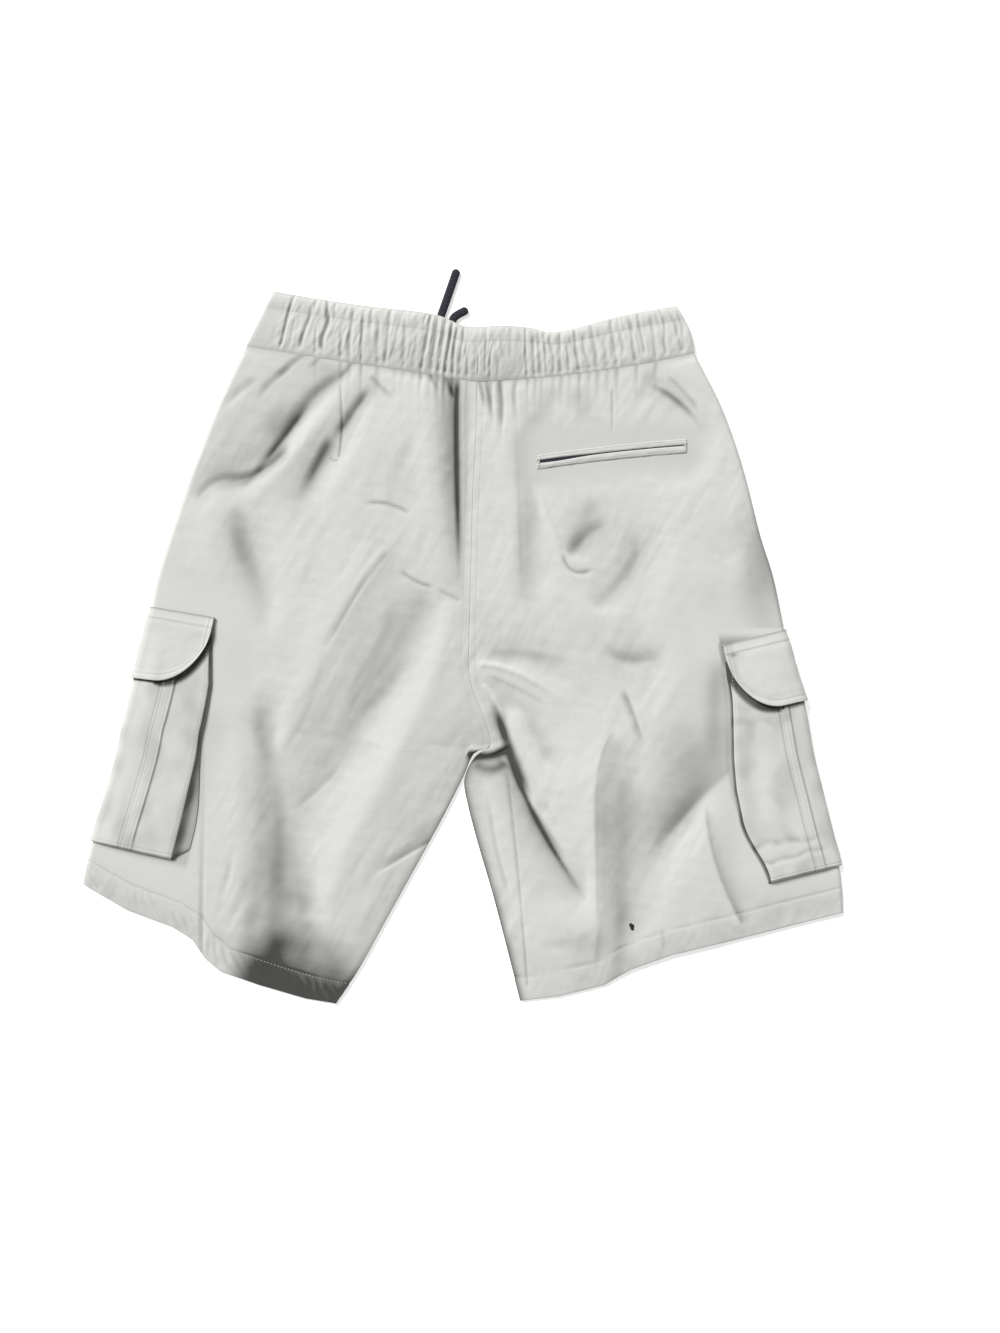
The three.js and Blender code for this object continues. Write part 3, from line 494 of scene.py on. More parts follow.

# Folds, each through three points. Left and right are its reach to either side as it is
# walked, start and end the share of its length it fades over. A form runs from 0, round,
# to 1, sharp at its line, and LAP is cloth that rolls over and drops at the line. Shade is
# the painted shade laid along the line, and the last two how far that reaches either side.
LAP = 2
LAP_ROLL = 0.3
DARK_END = 2.2
FOLD_COLUMNS = ("x0", "y0", "x1", "y1", "x2", "y2", "height", "left", "right", "start", "end",
                "left_form", "right_form", "shade", "dark_left", "dark_right")
FOLDS = [
    [-94, 236, -132, 210, -166, 164, -1, 6, 7, 0.25, 0.35, 0.5, 0.4, 0.3, 7, 8],
    [-128, 212, -150, 183, -179, 147, -0.8, 4, 6, 0.35, 0.3, 0.6, 0.4, 0.5, 3.2, 3.8],
    [-145, 176, -176, 149, -218, 142, -0.9, 4, 6, 0.2, 0.4, 0.5, 0.4, 0.46, 7, 5.5],
    [-166, 158, -178, 146, -190, 134, -0.4, 4, 5, 0.3, 0.4, 0.3, 0.3, 0.26, 3, 4],
    [-147, 214, -159, 193, -171, 176, -0.3, 9, 9, 0.4, 0.4, 0.2, 0.2, 0.16, 10, 8],
    [-79, 221, -94, 200, -110, 176, -1, 4, 6, 0.25, 0.3, 0.7, 0.4, 0.4, 3.2, 5],
    [-110, 180, -123, 158, -139, 124, -1, 4, 6, 0.25, 0.4, 0.7, 0.4, 0.42, 5, 6],
    [-105, 226, -103, 193, -106, 160, -0.9, 1.6, 1.6, 0.15, 0.05, 0.4, 0.4, 0.3, 0.8, 0.8],
    [-106, 160, -110, 159, -114, 163, -0.5, 1.5, 1.5, 0.1, 0.2, 0.4, 0.4, 0.22, 0.8, 0.8],
    [-195, 122, -184, 81, -169, 23, -0.6, 11, 12, 0.2, 0.35, 0.2, 0.2, 0.13, 7, 15],
    [-196, 108, -191, 85, -184, 66, -0.3, 7, 7, 0.3, 0.3, 0.2, 0.2, 0.1, 5, 7],
    [-133, 251, -147, 240, -161, 226, -0.8, 4, 5, 0.1, 0.4, 0.5, 0.3, 0.24, 2.6, 3.6],
    [-93, 244, -99, 236, -108, 226, -0.6, 3, 4, 0.1, 0.4, 0.5, 0.3, 0.22, 2.2, 2.6],
    [-79, 232, -69, 221, -57, 210, -0.6, 3, 5, 0.15, 0.4, 0.5, 0.3, 0.15, 1.6, 2.6],
    [-120, 248, -125, 243, -133, 236, -0.6, 3, 4, 0.1, 0.4, 0.5, 0.3, 0.18, 2, 2.4],
    [-171, 231, -190, 217, -205, 200, -0.8, 5, 7, 0.3, 0.4, 0.4, 0.3, 0.12, 4, 5],
    [-145, 239, -164, 224, -176, 207, -0.8, 4, 6, 0.2, 0.4, 0.6, 0.3, 0.12, 3, 4],
    [-184, 147, -212, 141, -230, 120, -0.6, 4, 6, 0.3, 0.3, 0.5, 0.3, 0.14, 3, 5],
    [-86, 122, -64, 122, -44, 113, -0.9, 2.5, 5, 0.25, 0.15, 0.8, 0.3, 0.16, 0.9, 1.2],
    [-53, 67, -41, 57, -23, 51, -1, 2.5, 4, 0.25, 0.2, 0.8, 0.3, 0.2, 0.8, 1],
    [-23, 51, -11, 44, -1, 40, -0.6, 2.5, 4, 0.25, 0.2, 0.8, 0.3, 0.12, 0.8, 1],
    [-37, 185, -54, 151, -67, 108, -0.4, 9, 9, 0.3, 0.3, 0.1, 0.1, 0.05, 8, 8],
    [-55, 90, -93, 42, -122, -12, -0.9, 4, 5, 0.2, 0.3, 0.6, 0.3, 0.2, 14, 1.2],
    [-77, 69, -99, 30, -120, -7, -0.5, 3, 3, 0.3, 0.4, 0.6, 0.3, 0.22, 3, 0.9],
    [-113, 6, -133, -55, -157, -96, -0.4, 6, 4, 0.3, 0.3, 0.2, 0.3, 0.1, 13, 2],
    [-60, 40, -67, 6, -94, -36, -0.4, 8, 8, 0.3, 0.3, 0.2, 0.2, 0.08, 12, 9],
    [-5, 232, -5, 151, -2, 40, -1.3, 2.4, 4, 0.12, 0.4, 0.7, 0.6, 0.66, 2.8, 2.4],
    [-7, 231, -7, 168, -3, 53, -0.2, 3, 10, 0.03, 0.45, 0, 0, 0.34, 4, 14],
    [-14, 233, -11, 221, -7, 210, -1.6, 3, 4, 0, 0.4, 0.5, 0.5, 0.3, 1.5, 1.5],
    [-28, 236, -25, 226, -19, 215, -1.3, 3, 4, 0, 0.5, 0.5, 0.5, 0.25, 1.4, 1.4],
    [3, 224, 3, 151, 3, 74, -0.3, 3, 3, 0.1, 0.4, 0.2, 0.2, 0.12, 4, 4],
    [-156, -87, -159, -198, -167, -317, -0.5, 13, 12, 0.5, 0, 0.1, 0.1, 0.2, 14, 13],
    [-156, -104, -156, -164, -159, -219, -0.4, 8, 8, 0.3, 0.5, 0.1, 0.1, 0.08, 8, 9],
    [-155, -138, -156, -206, -154, -266, -0.3, 14, 14, 0.5, 0.1, 0.1, 0.1, 0.15, 22, 20],
    [-171, -43, -173, -70, -164, -104, -0.4, 8, 8, 0.3, 0.3, 0.2, 0.2, 0.09, 7, 7],
    [-23, -162, -51, -178, -79, -195, -1.4, 3, 9, 0, 0.4, 0.8, 0.2, 0.2, 1.4, 2.6],
    [-4, -143, -28, -155, -50, -172, -0.6, 6, 9, 0.1, 0.4, 0.3, 0.2, 0.1, 5, 6],
    [-220, -36, -221, -147, -223, -264, -1, 3, 4, 0.25, 0, 0.4, 0.5, 0.1, 1.2, 1.6],
    [-193, -165, -201, -198, -209, -221, -0.6, 5, 5, 0.4, 0.4, 0.3, 0.3, 0.08, 3, 3],
    [-178, -189, -190, -215, -201, -237, -0.5, 5, 6, 0.3, 0.4, 0.3, 0.3, 0.07, 4, 5],
    [-100, -96, -123, -121, -147, -140, -0.5, 3, 6, 0.3, 0.3, 0.6, 0.2, 0.07, 2, 6],
    [-43, -2, -65, -36, -94, -63, -0.5, 8, 8, 0.3, 0.3, 0.2, 0.2, 0.06, 8, 8],
    [45, 210, 48, 125, 50, 34, -0.5, 4, 6, 0.3, 0.35, 0.4, 0.1, 0.18, 6, 2.4],
    [31, 229, 33, 202, 31, 171, -1.8, 4, 5, 0, 0.5, 0.5, 0.5, 0.26, 2, 2],
    [20, 228, 23, 209, 26, 185, -1.8, 4, 5, 0, 0.5, 0.5, 0.5, 0.26, 2, 2],
    [14, 227, 17, 215, 20, 200, -1.4, 3, 3, 0, 0.5, 0.5, 0.5, 0.2, 1.5, 1.5],
    [45, 227, 44, 210, 47, 185, -1.2, 4, 4, 0, 0.5, 0.5, 0.5, 0.14, 2, 2],
    [79, 226, 71, 202, 60, 170, -0.5, 11, 11, 0.3, 0.5, 0.1, 0.1, 0.07, 8, 8],
    [94, 224, 103, 202, 115, 176, -0.5, 12, 12, 0.35, 0.5, 0.1, 0.1, 0.09, 11, 11],
    [127, 221, 127, 200, 127, 178, -0.7, 1.6, 1.6, 0.1, 0.1, 0.4, 0.4, 0.16, 0.8, 0.8],
    [62, 144, 71, 113, 85, 81, 0.8, 5, 6, 0.3, 0.1, 0.5, 0, 0.12, 1.2, 2.6],
    [128, 105, 108, 98, 88, 76, -0.6, 5, 9, 0.4, 0.1, 0.5, 0.3, 0.2, 4.4, 7],
    [115, 137, 105, 107, 89, 78, -0.3, 9, 9, 0.3, 0.2, 0.2, 0.2, 0.15, 8, 12],
    [85, 81, 94, 65, 113, 67, -1.3, 3, 4, 0.15, 0.25, 0.8, 0.6, 0.26, 1.3, 1.6],
    [147, 95, 142, 69, 115, 35, -0.5, 6, 8, 0.3, 0.3, 0.3, 0.3, 0.1, 5, 6],
    [247, 136, 263, 74, 280, -2, -0.8, 4, 6, 0.35, 0.1, 0.5, 0.3, 0.34, 9, 7],
    [232, 137, 247, 69, 264, -11, -0.3, 10, 10, 0.3, 0.1, 0.2, 0.2, 0.2, 18, 16],
    [231, 151, 252, 91, 259, 40, -0.5, 8, 8, 0.3, 0.2, 0.2, 0.2, 0.08, 8, 8],
    [118, 1, 142, -11, 171, -5, -0.6, 9, 5, 0.3, 0.25, 0.2, 0.4, 0.13, 8, 3.6],
    [16, -7, 57, -7, 94, -17, -0.4, 5, 9, 0.2, 0.5, 0.2, 0.1, 0.09, 4, 9],
    [12, -14, 46, -21, 89, -48, 1.3, 3, 5, 0.1, 0.35, 0.5, 0.3, 0, 1, 1],
    [18, -24, 48, -36, 79, -55, -0.4, 3, 4, 0.2, 0.4, 0.3, 0.3, 0.07, 2, 3],
    [15, -30, 26, -43, 36, -63, 1, 4, 3, 0.2, 0.2, 0.2, 0.4, 0, 1, 1],
    [31, -55, 55, -130, 110, -223, 2.4, 14, 0, 0.35, 0.3, 2, 0, 0.6, 2, 2.6],
    [23, -40, 40, -85, 59, -135, -0.4, 3, 5, 0.35, 0.25, 0.5, 0.5, 0.95, 4.2, 4.6],
    [54, -130, 72, -157, 93, -187, -0.3, 3, 5, 0.2, 0.4, 0.5, 0.5, 0.36, 3, 6],
    [135, -34, 145, -57, 154, -85, -1.2, 3, 7, 0.25, 0.3, 0.6, 0.3, 0.2, 1.8, 3],
    [132, -70, 115, -108, 114, -191, -0.3, 5, 2, 0.25, 0.35, 0.3, 0.3, 0.34, 13, 2.2],
    [116, -121, 114, -181, 116, -261, -0.3, 5, 2, 0.3, 0.3, 0.3, 0.3, 0.3, 19, 2.6],
    [137, -104, 135, -140, 140, -187, -0.2, 8, 8, 0.3, 0.3, 0.2, 0.2, 0.06, 14, 16],
    [132, -198, 135, -249, 125, -300, -0.4, 8, 8, 0.35, 0, 0.2, 0.2, 0.15, 12, 10],
    [120, -219, 116, -249, 113, -278, -0.3, 5, 3, 0.4, 0.3, 0.2, 0.2, 0.12, 5, 3],
    [232, -99, 203, -126, 152, -186, -0.7, 3, 14, 0.25, 0.3, 0.8, 0.15, 0.3, 3.2, 22],
    [224, -2, 222, -50, 225, -104, -0.3, 4, 12, 0.2, 0.15, 0.2, 0.2, 0.18, 3, 16],
    [218, -6, 213, -48, 215, -106, -0.2, 6, 8, 0.35, 0.3, 0.2, 0.2, 0.24, 7, 8],
    [215, -75, 193, -97, 167, -118, -0.2, 8, 12, 0.4, 0.4, 0.2, 0.2, 0.16, 16, 18],
    [207, -130, 215, -182, 240, -238, -0.9, 4, 3, 0.2, 0.05, 0.5, 0.4, 0.34, 6, 1.6],
    [167, -237, 171, -249, 169, -259, -0.4, 3, 3, 0.3, 0.3, 0.3, 0.3, 0.08, 2.6, 2.6],
    [157, 224, 184, 209, 207, 181, -1, 3, 6, 0.3, 0.35, 0.5, 0.3, 0.3, 1.6, 3.2],
    [174, 231, 193, 212, 201, 198, -0.5, 3, 5, 0.1, 0.35, 0.5, 0.3, 0.12, 1.2, 2],
    [55, -255, 89, -252, 115, -240, -0.3, 7, 7, 0.3, 0.3, 0.2, 0.2, 0.09, 7, 8],
    [37, -104, 46, -181, 55, -287, -0.6, 1.6, 2.6, 0.1, 0, 0.5, 0.5, 0.18, 0.9, 1.1],
    [20, -121, 31, -181, 42, -215, -0.5, 3, 4, 0.2, 0.3, 0.4, 0.4, 0.1, 2.4, 2.4],
    [3, -89, 22, -92, 42, -82, 1.6, 10, 0, 0.06, 0.1, 2, 0, 0.95, 4.2, 4.2],
    [9, -99, 25, -104, 37, -97, -0.3, 5, 5, 0.1, 0.1, 0.3, 0.3, 0.45, 5, 5],
]
FOLD_STEPS = 14

# The back pocket's slit, from its inner end to its outer one, and how wide its welts are.
WELT_FROM = (63, 158)
WELT_TO = (190.5, 172)
WELT_BOW = 1.2
WELT_UPPER = 5.5
WELT_LOWER = 6.5
RIPPLE_WAVES = 7


def smooth(value, low, high):
    share = np.clip((np.asarray(value, float) - low) / (high - low), 0, 1)
    return share * share * (3 - 2 * share)


def ramp(value, reach=16.0):
    return smooth(value, -reach, 0)


def along(rows, at):
    """A smooth curve through the rows, read at a row number with decimals."""
    rows = np.asarray(rows, float)
    at = np.asarray(at, float)
    i = np.clip(np.floor(at).astype(int), 0, len(rows) - 2)
    f = (at - i)[..., None]
    a, b, c, d = (rows[np.clip(i + step, 0, len(rows) - 1)] for step in (-1, 0, 1, 2))
    return b + 0.5 * f * (c - a + f * (2 * a - 5 * b + 4 * c - d + f * (3 * (b - c) + d - a)))


def between(rows, at):
    return np.interp(at, [row[0] for row in rows], [row[1] for row in rows])


for name, leg in LEGS.items():
    leg["name"] = name
    leg["stations"] = np.linspace(0, LAST_STATION, MEASURES)
    leg["distances"] = distances_along(along(leg["outer"], leg["stations"]))


def fold_course(fold):
    ends = np.array([[fold["x0"], fold["y0"]], [fold["x2"], fold["y2"]]], float)
    control = 2 * np.array([fold["x1"], fold["y1"]], float) - ends.mean(axis=0)
    t = np.linspace(0, 1, FOLD_STEPS + 1)[:, None]
    return (1 - t) ** 2 * ends[0] + 2 * t * (1 - t) * control + t ** 2 * ends[1]


def fold_side(q, form):
    """Share of a fold's height at share q of its reach to one side."""
    if form == LAP:
        roll = np.clip(q / LAP_ROLL, 0, 1)
        return np.sqrt(1 - (1 - roll) ** 2) * (1 - smooth(q, LAP_ROLL, 1))
    soft = (1 - q ** 2) ** 2
    return soft + ((1 - q) ** 1.8 - soft) * form


def fold_relief(x, y):
    """Height that the folds add at each place, and the shade painted along their lines there."""
    total = np.zeros(x.shape)
    dark = np.zeros(x.shape)
    for row in FOLDS:
        fold = dict(zip(FOLD_COLUMNS, row))
        course = fold_course(fold)
        reach = max(fold["left"], fold["right"],
                    DARK_END * fold["dark_left"], DARK_END * fold["dark_right"])
        near = ((x > course[:, 0].min() - reach) & (x < course[:, 0].max() + reach)
                & (y > course[:, 1].min() - reach) & (y < course[:, 1].max() + reach))
        if not near.any():
            continue
        px, py = x[near], y[near]
        best = np.full(px.shape, np.inf)
        reached = np.zeros(px.shape)
        on_left = np.zeros(px.shape, bool)
        for i in range(FOLD_STEPS):
            run = course[i + 1] - course[i]
            dx, dy = px - course[i, 0], py - course[i, 1]
            share = np.clip((dx * run[0] + dy * run[1]) / (run @ run), 0, 1)
            ox, oy = dx - run[0] * share, dy - run[1] * share
            distance = np.hypot(ox, oy)
            closer = distance < best
            best = np.minimum(distance, best)
            reached = np.where(closer, (i + share) / FOLD_STEPS, reached)
            on_left = np.where(closer, run[0] * oy - run[1] * ox > 0, on_left)
        body = np.where(on_left, *(
            fold_side(np.clip(best / max(fold[side], 0.01), 0, 1), fold[f"{side}_form"])
            for side in ("left", "right")))
        if LAP in (fold["left_form"], fold["right_form"]):
            lap_left = fold["left_form"] == LAP
            body = np.where(on_left == lap_left, body, 0)
        fade = smooth(reached, 0, fold["start"]) if fold["start"] else 1.0
        if fold["end"]:
            fade = fade * smooth(1 - reached, 0, fold["end"])
        total[near] += fold["height"] * body * fade
        spread = np.where(on_left, fold["dark_left"], fold["dark_right"])
        shade = fold["shade"] * fade * np.exp(-(best / spread) ** 2)
        dark[near] = dark[near] + shade * (1 - dark[near])
    return total, dark


def blurred(values, radius, passes=3):
    """A grid's running mean over a square, taken a few times so that it is smooth."""
    for _ in range(passes):
        for axis in (0, 1):
            padding = [(radius + 1, radius) if k == axis else (0, 0) for k in (0, 1)]
            total = np.cumsum(np.pad(values, padding, mode="edge"), axis=axis)
            size = 2 * radius + 1
            n = values.shape[axis]
            values = (np.take(total, range(size, size + n), axis=axis)
                      - np.take(total, range(0, n), axis=axis)) / size
    return values


def hung_between(lines):
    """Cloth heights over a grid, stretched between the lines like a skin, then rounded."""
    wide, tall = RELIEF_CELLS
    sums, counts = np.zeros((tall, wide)), np.zeros((tall, wide))
    for line in lines:
        knots = np.asarray(line, float)
        travelled = distances_along(knots[:, :2])
        at = np.linspace(0, travelled[-1], int(travelled[-1]) + 2)
        x, y, z = (np.interp(at, travelled, knots[:, k]) for k in range(3))
        i = np.round((y - RELIEF_FROM[1]) / RELIEF_CELL).astype(int)
        j = np.round((x - RELIEF_FROM[0]) / RELIEF_CELL).astype(int)
        np.add.at(sums, (i, j), z)
        np.add.at(counts, (i, j), 1)
    height = None
    for level in range(RELIEF_LEVELS, -1, -1):
        step = 2 ** level
        shape = (-(-tall // step), -(-wide // step))
        padded_sums = np.zeros((shape[0] * step, shape[1] * step))
        padded_counts = padded_sums.copy()
        padded_sums[:tall, :wide], padded_counts[:tall, :wide] = sums, counts
        blocks = (shape[0], step, shape[1], step)
        held_sum = padded_sums.reshape(blocks).sum(axis=(1, 3))
        held_count = padded_counts.reshape(blocks).sum(axis=(1, 3))
        held = held_count > 0
        value = held_sum / np.maximum(held_count, 1)
        if height is None:
            height = np.where(held, value, LAID_HEIGHT)
        else:
            height = np.repeat(np.repeat(height, 2, axis=0), 2, axis=1)[:shape[0], :shape[1]]
        for _ in range(RELIEF_SWEEPS):
            edge = np.pad(height, 1, mode="edge")
            height = (edge[:-2, 1:-1] + edge[2:, 1:-1] + edge[1:-1, :-2] + edge[1:-1, 2:]) / 4
            height = np.where(held, value, height)
    return blurred(height, RELIEF_ROUNDING)


RELIEF = hung_between(RELIEF_LINES)


def relief_at(x, y):
    i = np.clip((y - RELIEF_FROM[1]) / RELIEF_CELL, 0, RELIEF_CELLS[1] - 1.001)
    j = np.clip((x - RELIEF_FROM[0]) / RELIEF_CELL, 0, RELIEF_CELLS[0] - 1.001)
    i0, j0 = i.astype(int), j.astype(int)
    u, v = i - i0, j - j0
    return ((RELIEF[i0, j0] * (1 - v) + RELIEF[i0, j0 + 1] * v) * (1 - u)
            + (RELIEF[i0 + 1, j0] * (1 - v) + RELIEF[i0 + 1, j0 + 1] * v) * u)


def ripples(x, y, size, seed, octaves=3):
    """Gentle unevenness, about one unit high, the same on every run."""
    random = np.random.default_rng(seed)
    total = np.zeros(np.shape(x))
    for octave in range(octaves):
        for _ in range(RIPPLE_WAVES):
            angle = random.uniform(0, np.pi)
            phase = random.uniform(0, 2 * np.pi)
            wave = size * random.uniform(0.8, 1.5) / 1.9 ** octave
            bend = 0.6 * np.sin((x * np.sin(angle) - y * np.cos(angle)) * 2.4 / wave + phase * 3)
            total += 0.5 ** octave * np.sin(
                (x * np.cos(angle) + y * np.sin(angle)) * 2 * np.pi / wave + phase + bend) / 3.2
    return total


def welt_calm(x, y):
    """How free the cloth is to fold near the back pocket, which holds it flat."""
    beyond = np.maximum(np.maximum(WELT_FROM[0] - x, x - WELT_TO[0]), 0)
    share = (x - WELT_FROM[0]) / (WELT_TO[0] - WELT_FROM[0])
    aside = np.abs(y - WELT_FROM[1] - (WELT_TO[1] - WELT_FROM[1]) * share)
    return smooth(np.hypot(beyond, np.maximum(aside - WELT_LOWER - 1, 0)), 0, 32)


def pocket_lift(leg, distance, across):
    """How far a leg lies raised by the halves of the pocket and flap that are under it."""
    down = distance + leg["pocket_skew"] * across - leg["flap_top"]
    inside = ramp(POCKET_UNDER + 3 - across, 62)
    flap = ramp(down + 3, 58) * ramp(FLAP_LENGTH + 12 - down, 40)
    pocket = ramp(down - MOUTH_DROP + 3, 48) * ramp(POCKET_DROP + 8 - down, 34)
    return (WALL + LAYER_GAP) * inside * (flap + pocket)


def pocket_calm(leg, distance, across, reach):
    """How free the cloth is to fold near a pocket: none under it, all beyond its reach."""
    down = distance - leg["flap_top"]
    width = leg["pocket_widths"][-1][1] + 1
    return 1 - (ramp(down + 3, reach) * ramp(POCKET_DROP + 6 - down, reach * 0.5)
                * ramp(width - across, reach * 0.75))


def leg_frame(leg, station):
    """A leg's edges at each station, half a seam's gap apart, and the way across it."""
    outer = along(leg["outer"], station)
    inner = along(leg["inner"], station)
    ahead = along(leg["inner"], np.minimum(station + STATION_STEP, LAST_STATION))
    behind = along(leg["inner"], np.maximum(station - STATION_STEP, 0))
    tangent = ahead - behind
    tangent /= np.linalg.norm(tangent, axis=-1, keepdims=True)
    outward = outer - inner
    inward = np.sign(tangent[..., 1] * outward[..., 0] - tangent[..., 0] * outward[..., 1])
    inner[..., 0] += tangent[..., 1] * inward * SEAM_GAP / 2
    inner[..., 1] -= tangent[..., 0] * inward * SEAM_GAP / 2
    length = np.linalg.norm(inner - outer, axis=-1)
    direction = (inner - outer) / length[..., None]
    return {
        "leg": leg, "station": station, "outer": outer, "length": length,
        "direction": direction, "width": length - 2 * (FOLD_REACH - FOLD_ARC),
        "distance": np.interp(station, leg["stations"], leg["distances"]),
    }


def leg_points(place, across, away=0.0, relief=None):
    """Points and outward directions of a leg's outer face. Across is measured round the
    outer fold and over the cloth: above zero on the back, below zero under the front."""
    leg, station = place["leg"], place["station"]
    upper = across >= 0
    side = np.where(upper, 1.0, -1.0)
    run = np.abs(across)
    width, length = place["width"], place["length"]
    outer_turn = np.clip(run / FOLD_ARC, 0, 1) * np.pi / 2
    inner_turn = np.clip((width - run) / FOLD_ARC, 0, 1) * np.pi / 2
    flat = np.clip(run - FOLD_ARC, 0, width - 2 * FOLD_ARC)
    inward = FOLD_REACH * (1 - np.cos(outer_turn) + np.cos(inner_turn)) + flat
    share = inward / length
    waist = leg["waist_drop"] * 4 * share * (1 - share) * (1 - smooth(station, 0, WAIST_SHAPED_TO))
    hem = between(leg["hem_drop"], share) * smooth(station, HEM_SHAPED_FROM, LAST_STATION)
    x = place["outer"][..., 0] + place["direction"][..., 0] * inward
    y = place["outer"][..., 1] + place["direction"][..., 1] * inward - waist - hem
    lift = pocket_lift(leg, place["distance"], run)
    height = np.where(upper, 0, lift)
    if upper.any():
        calm = pocket_calm(leg, place["distance"], run, 60) * welt_calm(x, y)
        shape = relief_at(x, y) - LAID_HEIGHT + fold_relief(x, y)[0]
        laid = LAID_HEIGHT + lift + shape * calm
        floor = LOWEST_TROUGH + lift
        shaped = 0.5 * (laid + floor + np.hypot(laid - floor, 0.5))
        if relief is not None:
            shaped = shaped + relief(x, y) * calm
        height = np.where(upper, shaped, height)
    seamed = smooth(station, *SEAMED)
    outer_dip = 1 - np.sin(outer_turn)
    inner_dip = (1 - np.sin(inner_turn)) * seamed
    middle = np.where(outer_dip > 0, LAID_HEIGHT / 2 + pocket_lift(leg, place["distance"], 0),
                      LAID_HEIGHT / 2)
    z = height + (middle + side * SEAM_GAP / 2 - height) * (outer_dip + inner_dip)
    sideways = np.cos(inner_turn) * seamed - np.cos(outer_turn)
    normal = np.stack([
        place["direction"][..., 0] * sideways, place["direction"][..., 1] * sideways,
        side * (1 - outer_dip - inner_dip)], axis=-1)
    normal /= np.linalg.norm(normal, axis=-1, keepdims=True)
    points = np.stack([x, y, z], axis=-1) + normal * np.asarray(away)[..., None]
    return points, normal


def row_stations(count):
    """Stations that lie about evenly down the edges of both legs."""
    fine = np.linspace(0, LAST_STATION, MEASURES)
    travelled = sum(distances_along(along(leg[edge], fine))
                    for leg in LEGS.values() for edge in ("outer", "inner"))
    return np.interp(np.linspace(0, travelled[-1], count), travelled, fine)


ROLL_STEPS = 6


def rolled(points, normals, marks, border, thickness, turned_in):
    """Carries a sheet round its edge by its own thickness and a little way underneath."""
    is_column = border.endswith("column")
    step = -1 if border.startswith("first") else 1

    def flip(grid):
        return (np.swapaxes(grid, 0, 1) if is_column else grid)[::step]

    def back(grid):
        return np.swapaxes(grid[::step], 0, 1) if is_column else grid[::step]

    p, n = flip(points), flip(normals)
    outward = p[-1] - p[-3]
    outward -= (outward * n[-1]).sum(axis=1, keepdims=True) * n[-1]
    outward /= np.linalg.norm(outward, axis=1, keepdims=True)
    radius = thickness / 2
    extra = [p[-1] + outward * radius * math.sin(turn) - n[-1] * radius * (1 - math.cos(turn))
             for turn in (math.pi * k / ROLL_STEPS for k in range(1, ROLL_STEPS + 1))]
    level = outward * (1.0, 1.0, 0.0)
    level /= np.linalg.norm(level, axis=1, keepdims=True)
    turned_in = np.broadcast_to(turned_in, p.shape[1])[:, None]
    extra.append(extra[-1] - level * turned_in)
    points = back(np.concatenate([p, np.stack(extra)]))
    normals = back(np.concatenate([n, np.repeat(n[-1:], len(extra), axis=0)]))
    grown = {}
    for key, values in marks.items():
        v = flip(values)
        grown[key] = back(np.concatenate([v, np.repeat(v[-1:], len(extra), axis=0)]))
    return points, normals, grown


def mirrored(points, marks):
    """The same sheet with its columns turned round, so that its faces look out."""
    return points[:, ::-1], {key: values[:, ::-1] for key, values in marks.items()}


# The band's creases run on into the panels. It is measured along its seam and along its top.
BAND_LEFT = -184.5
BAND_LENGTH = 381.5
TOP_LEFT = -161.5
TOP_LENGTH = 343.5
GATHER_PITCH = 0.0138
GATHERED = (0.045, 0.985)

# Main creases of the band: place at its seam, at its top, depth, low end and high end up it.
MAIN_GATHERS = [
    (-156, -141, 1.7, 0.0, 1.0), (-147, -138, 0.7, 0.1, 0.6), (-139, -126, 1.4, 0.05, 0.85),
    (-131, -124, 0.7, 0.7, 1.0), (-126, -120, 0.8, -0.05, 0.5), (-119, -113, 2.1, 0.05, 1.0),
    (-110, -107, 0.9, 0.6, 1.0), (-104, -101, 1.0, -0.05, 0.5), (-97, -92, 1.3, -0.05, 0.9),
    (-87, -83, 1.4, -0.05, 0.85), (-79, -77, 0.6, 0.5, 1.0), (-73, -70, 1.0, -0.05, 0.8),
    (-67, -61, 1.2, 0.0, 1.0), (-58, -56, 0.6, -0.05, 0.4), (-51, -49, 0.9, -0.05, 0.8),
    (-42, -39, 0.7, -0.05, 0.6), (-36, -27, 1.7, -0.05, 1.0), (-28, -22, 1.7, -0.05, 1.0),
    (-22, -16, 1.8, -0.05, 1.0), (-16, -10, 2.1, -0.05, 1.0), (-10, -5, 2.0, -0.05, 0.9),
    (-4, 1, 1.1, -0.05, 1.0), (3, 3, 0.8, -0.05, 0.7), (13, 11, 0.7, -0.05, 0.5),
    (20, 20, 0.9, 0.1, 1.0), (24, 23, 1.1, -0.05, 0.5), (31, 29, 0.9, -0.05, 0.4),
    (41, 40, 0.4, 0.3, 1.0), (55, 53, 1.2, -0.05, 1.0), (62, 59, 1.1, -0.05, 0.9),
    (67, 65, 1.0, -0.05, 0.9), (72, 71, 0.6, 0.4, 1.0), (78, 76, 1.1, -0.05, 0.9),
    (84, 82, 1.2, -0.05, 1.0), (91, 89, 1.0, -0.05, 0.7), (99, 96, 1.4, -0.05, 1.0),
    (107, 103, 0.9, -0.05, 0.8), (115, 110, 1.4, -0.05, 1.0), (123, 118, 0.8, -0.05, 0.6),
    (131, 125, 1.3, -0.05, 1.0), (138, 131, 0.8, 0.2, 1.0), (148, 140, 1.2, -0.05, 0.9),
    (155, 147, 1.2, 0.1, 1.0), (164, 155, 1.0, -0.05, 0.85), (173, 163, 1.0, 0.0, 1.0),
    (181, 171, 0.7, 0.3, 1.0), (187, 177, 0.9, 0.0, 0.9),
]


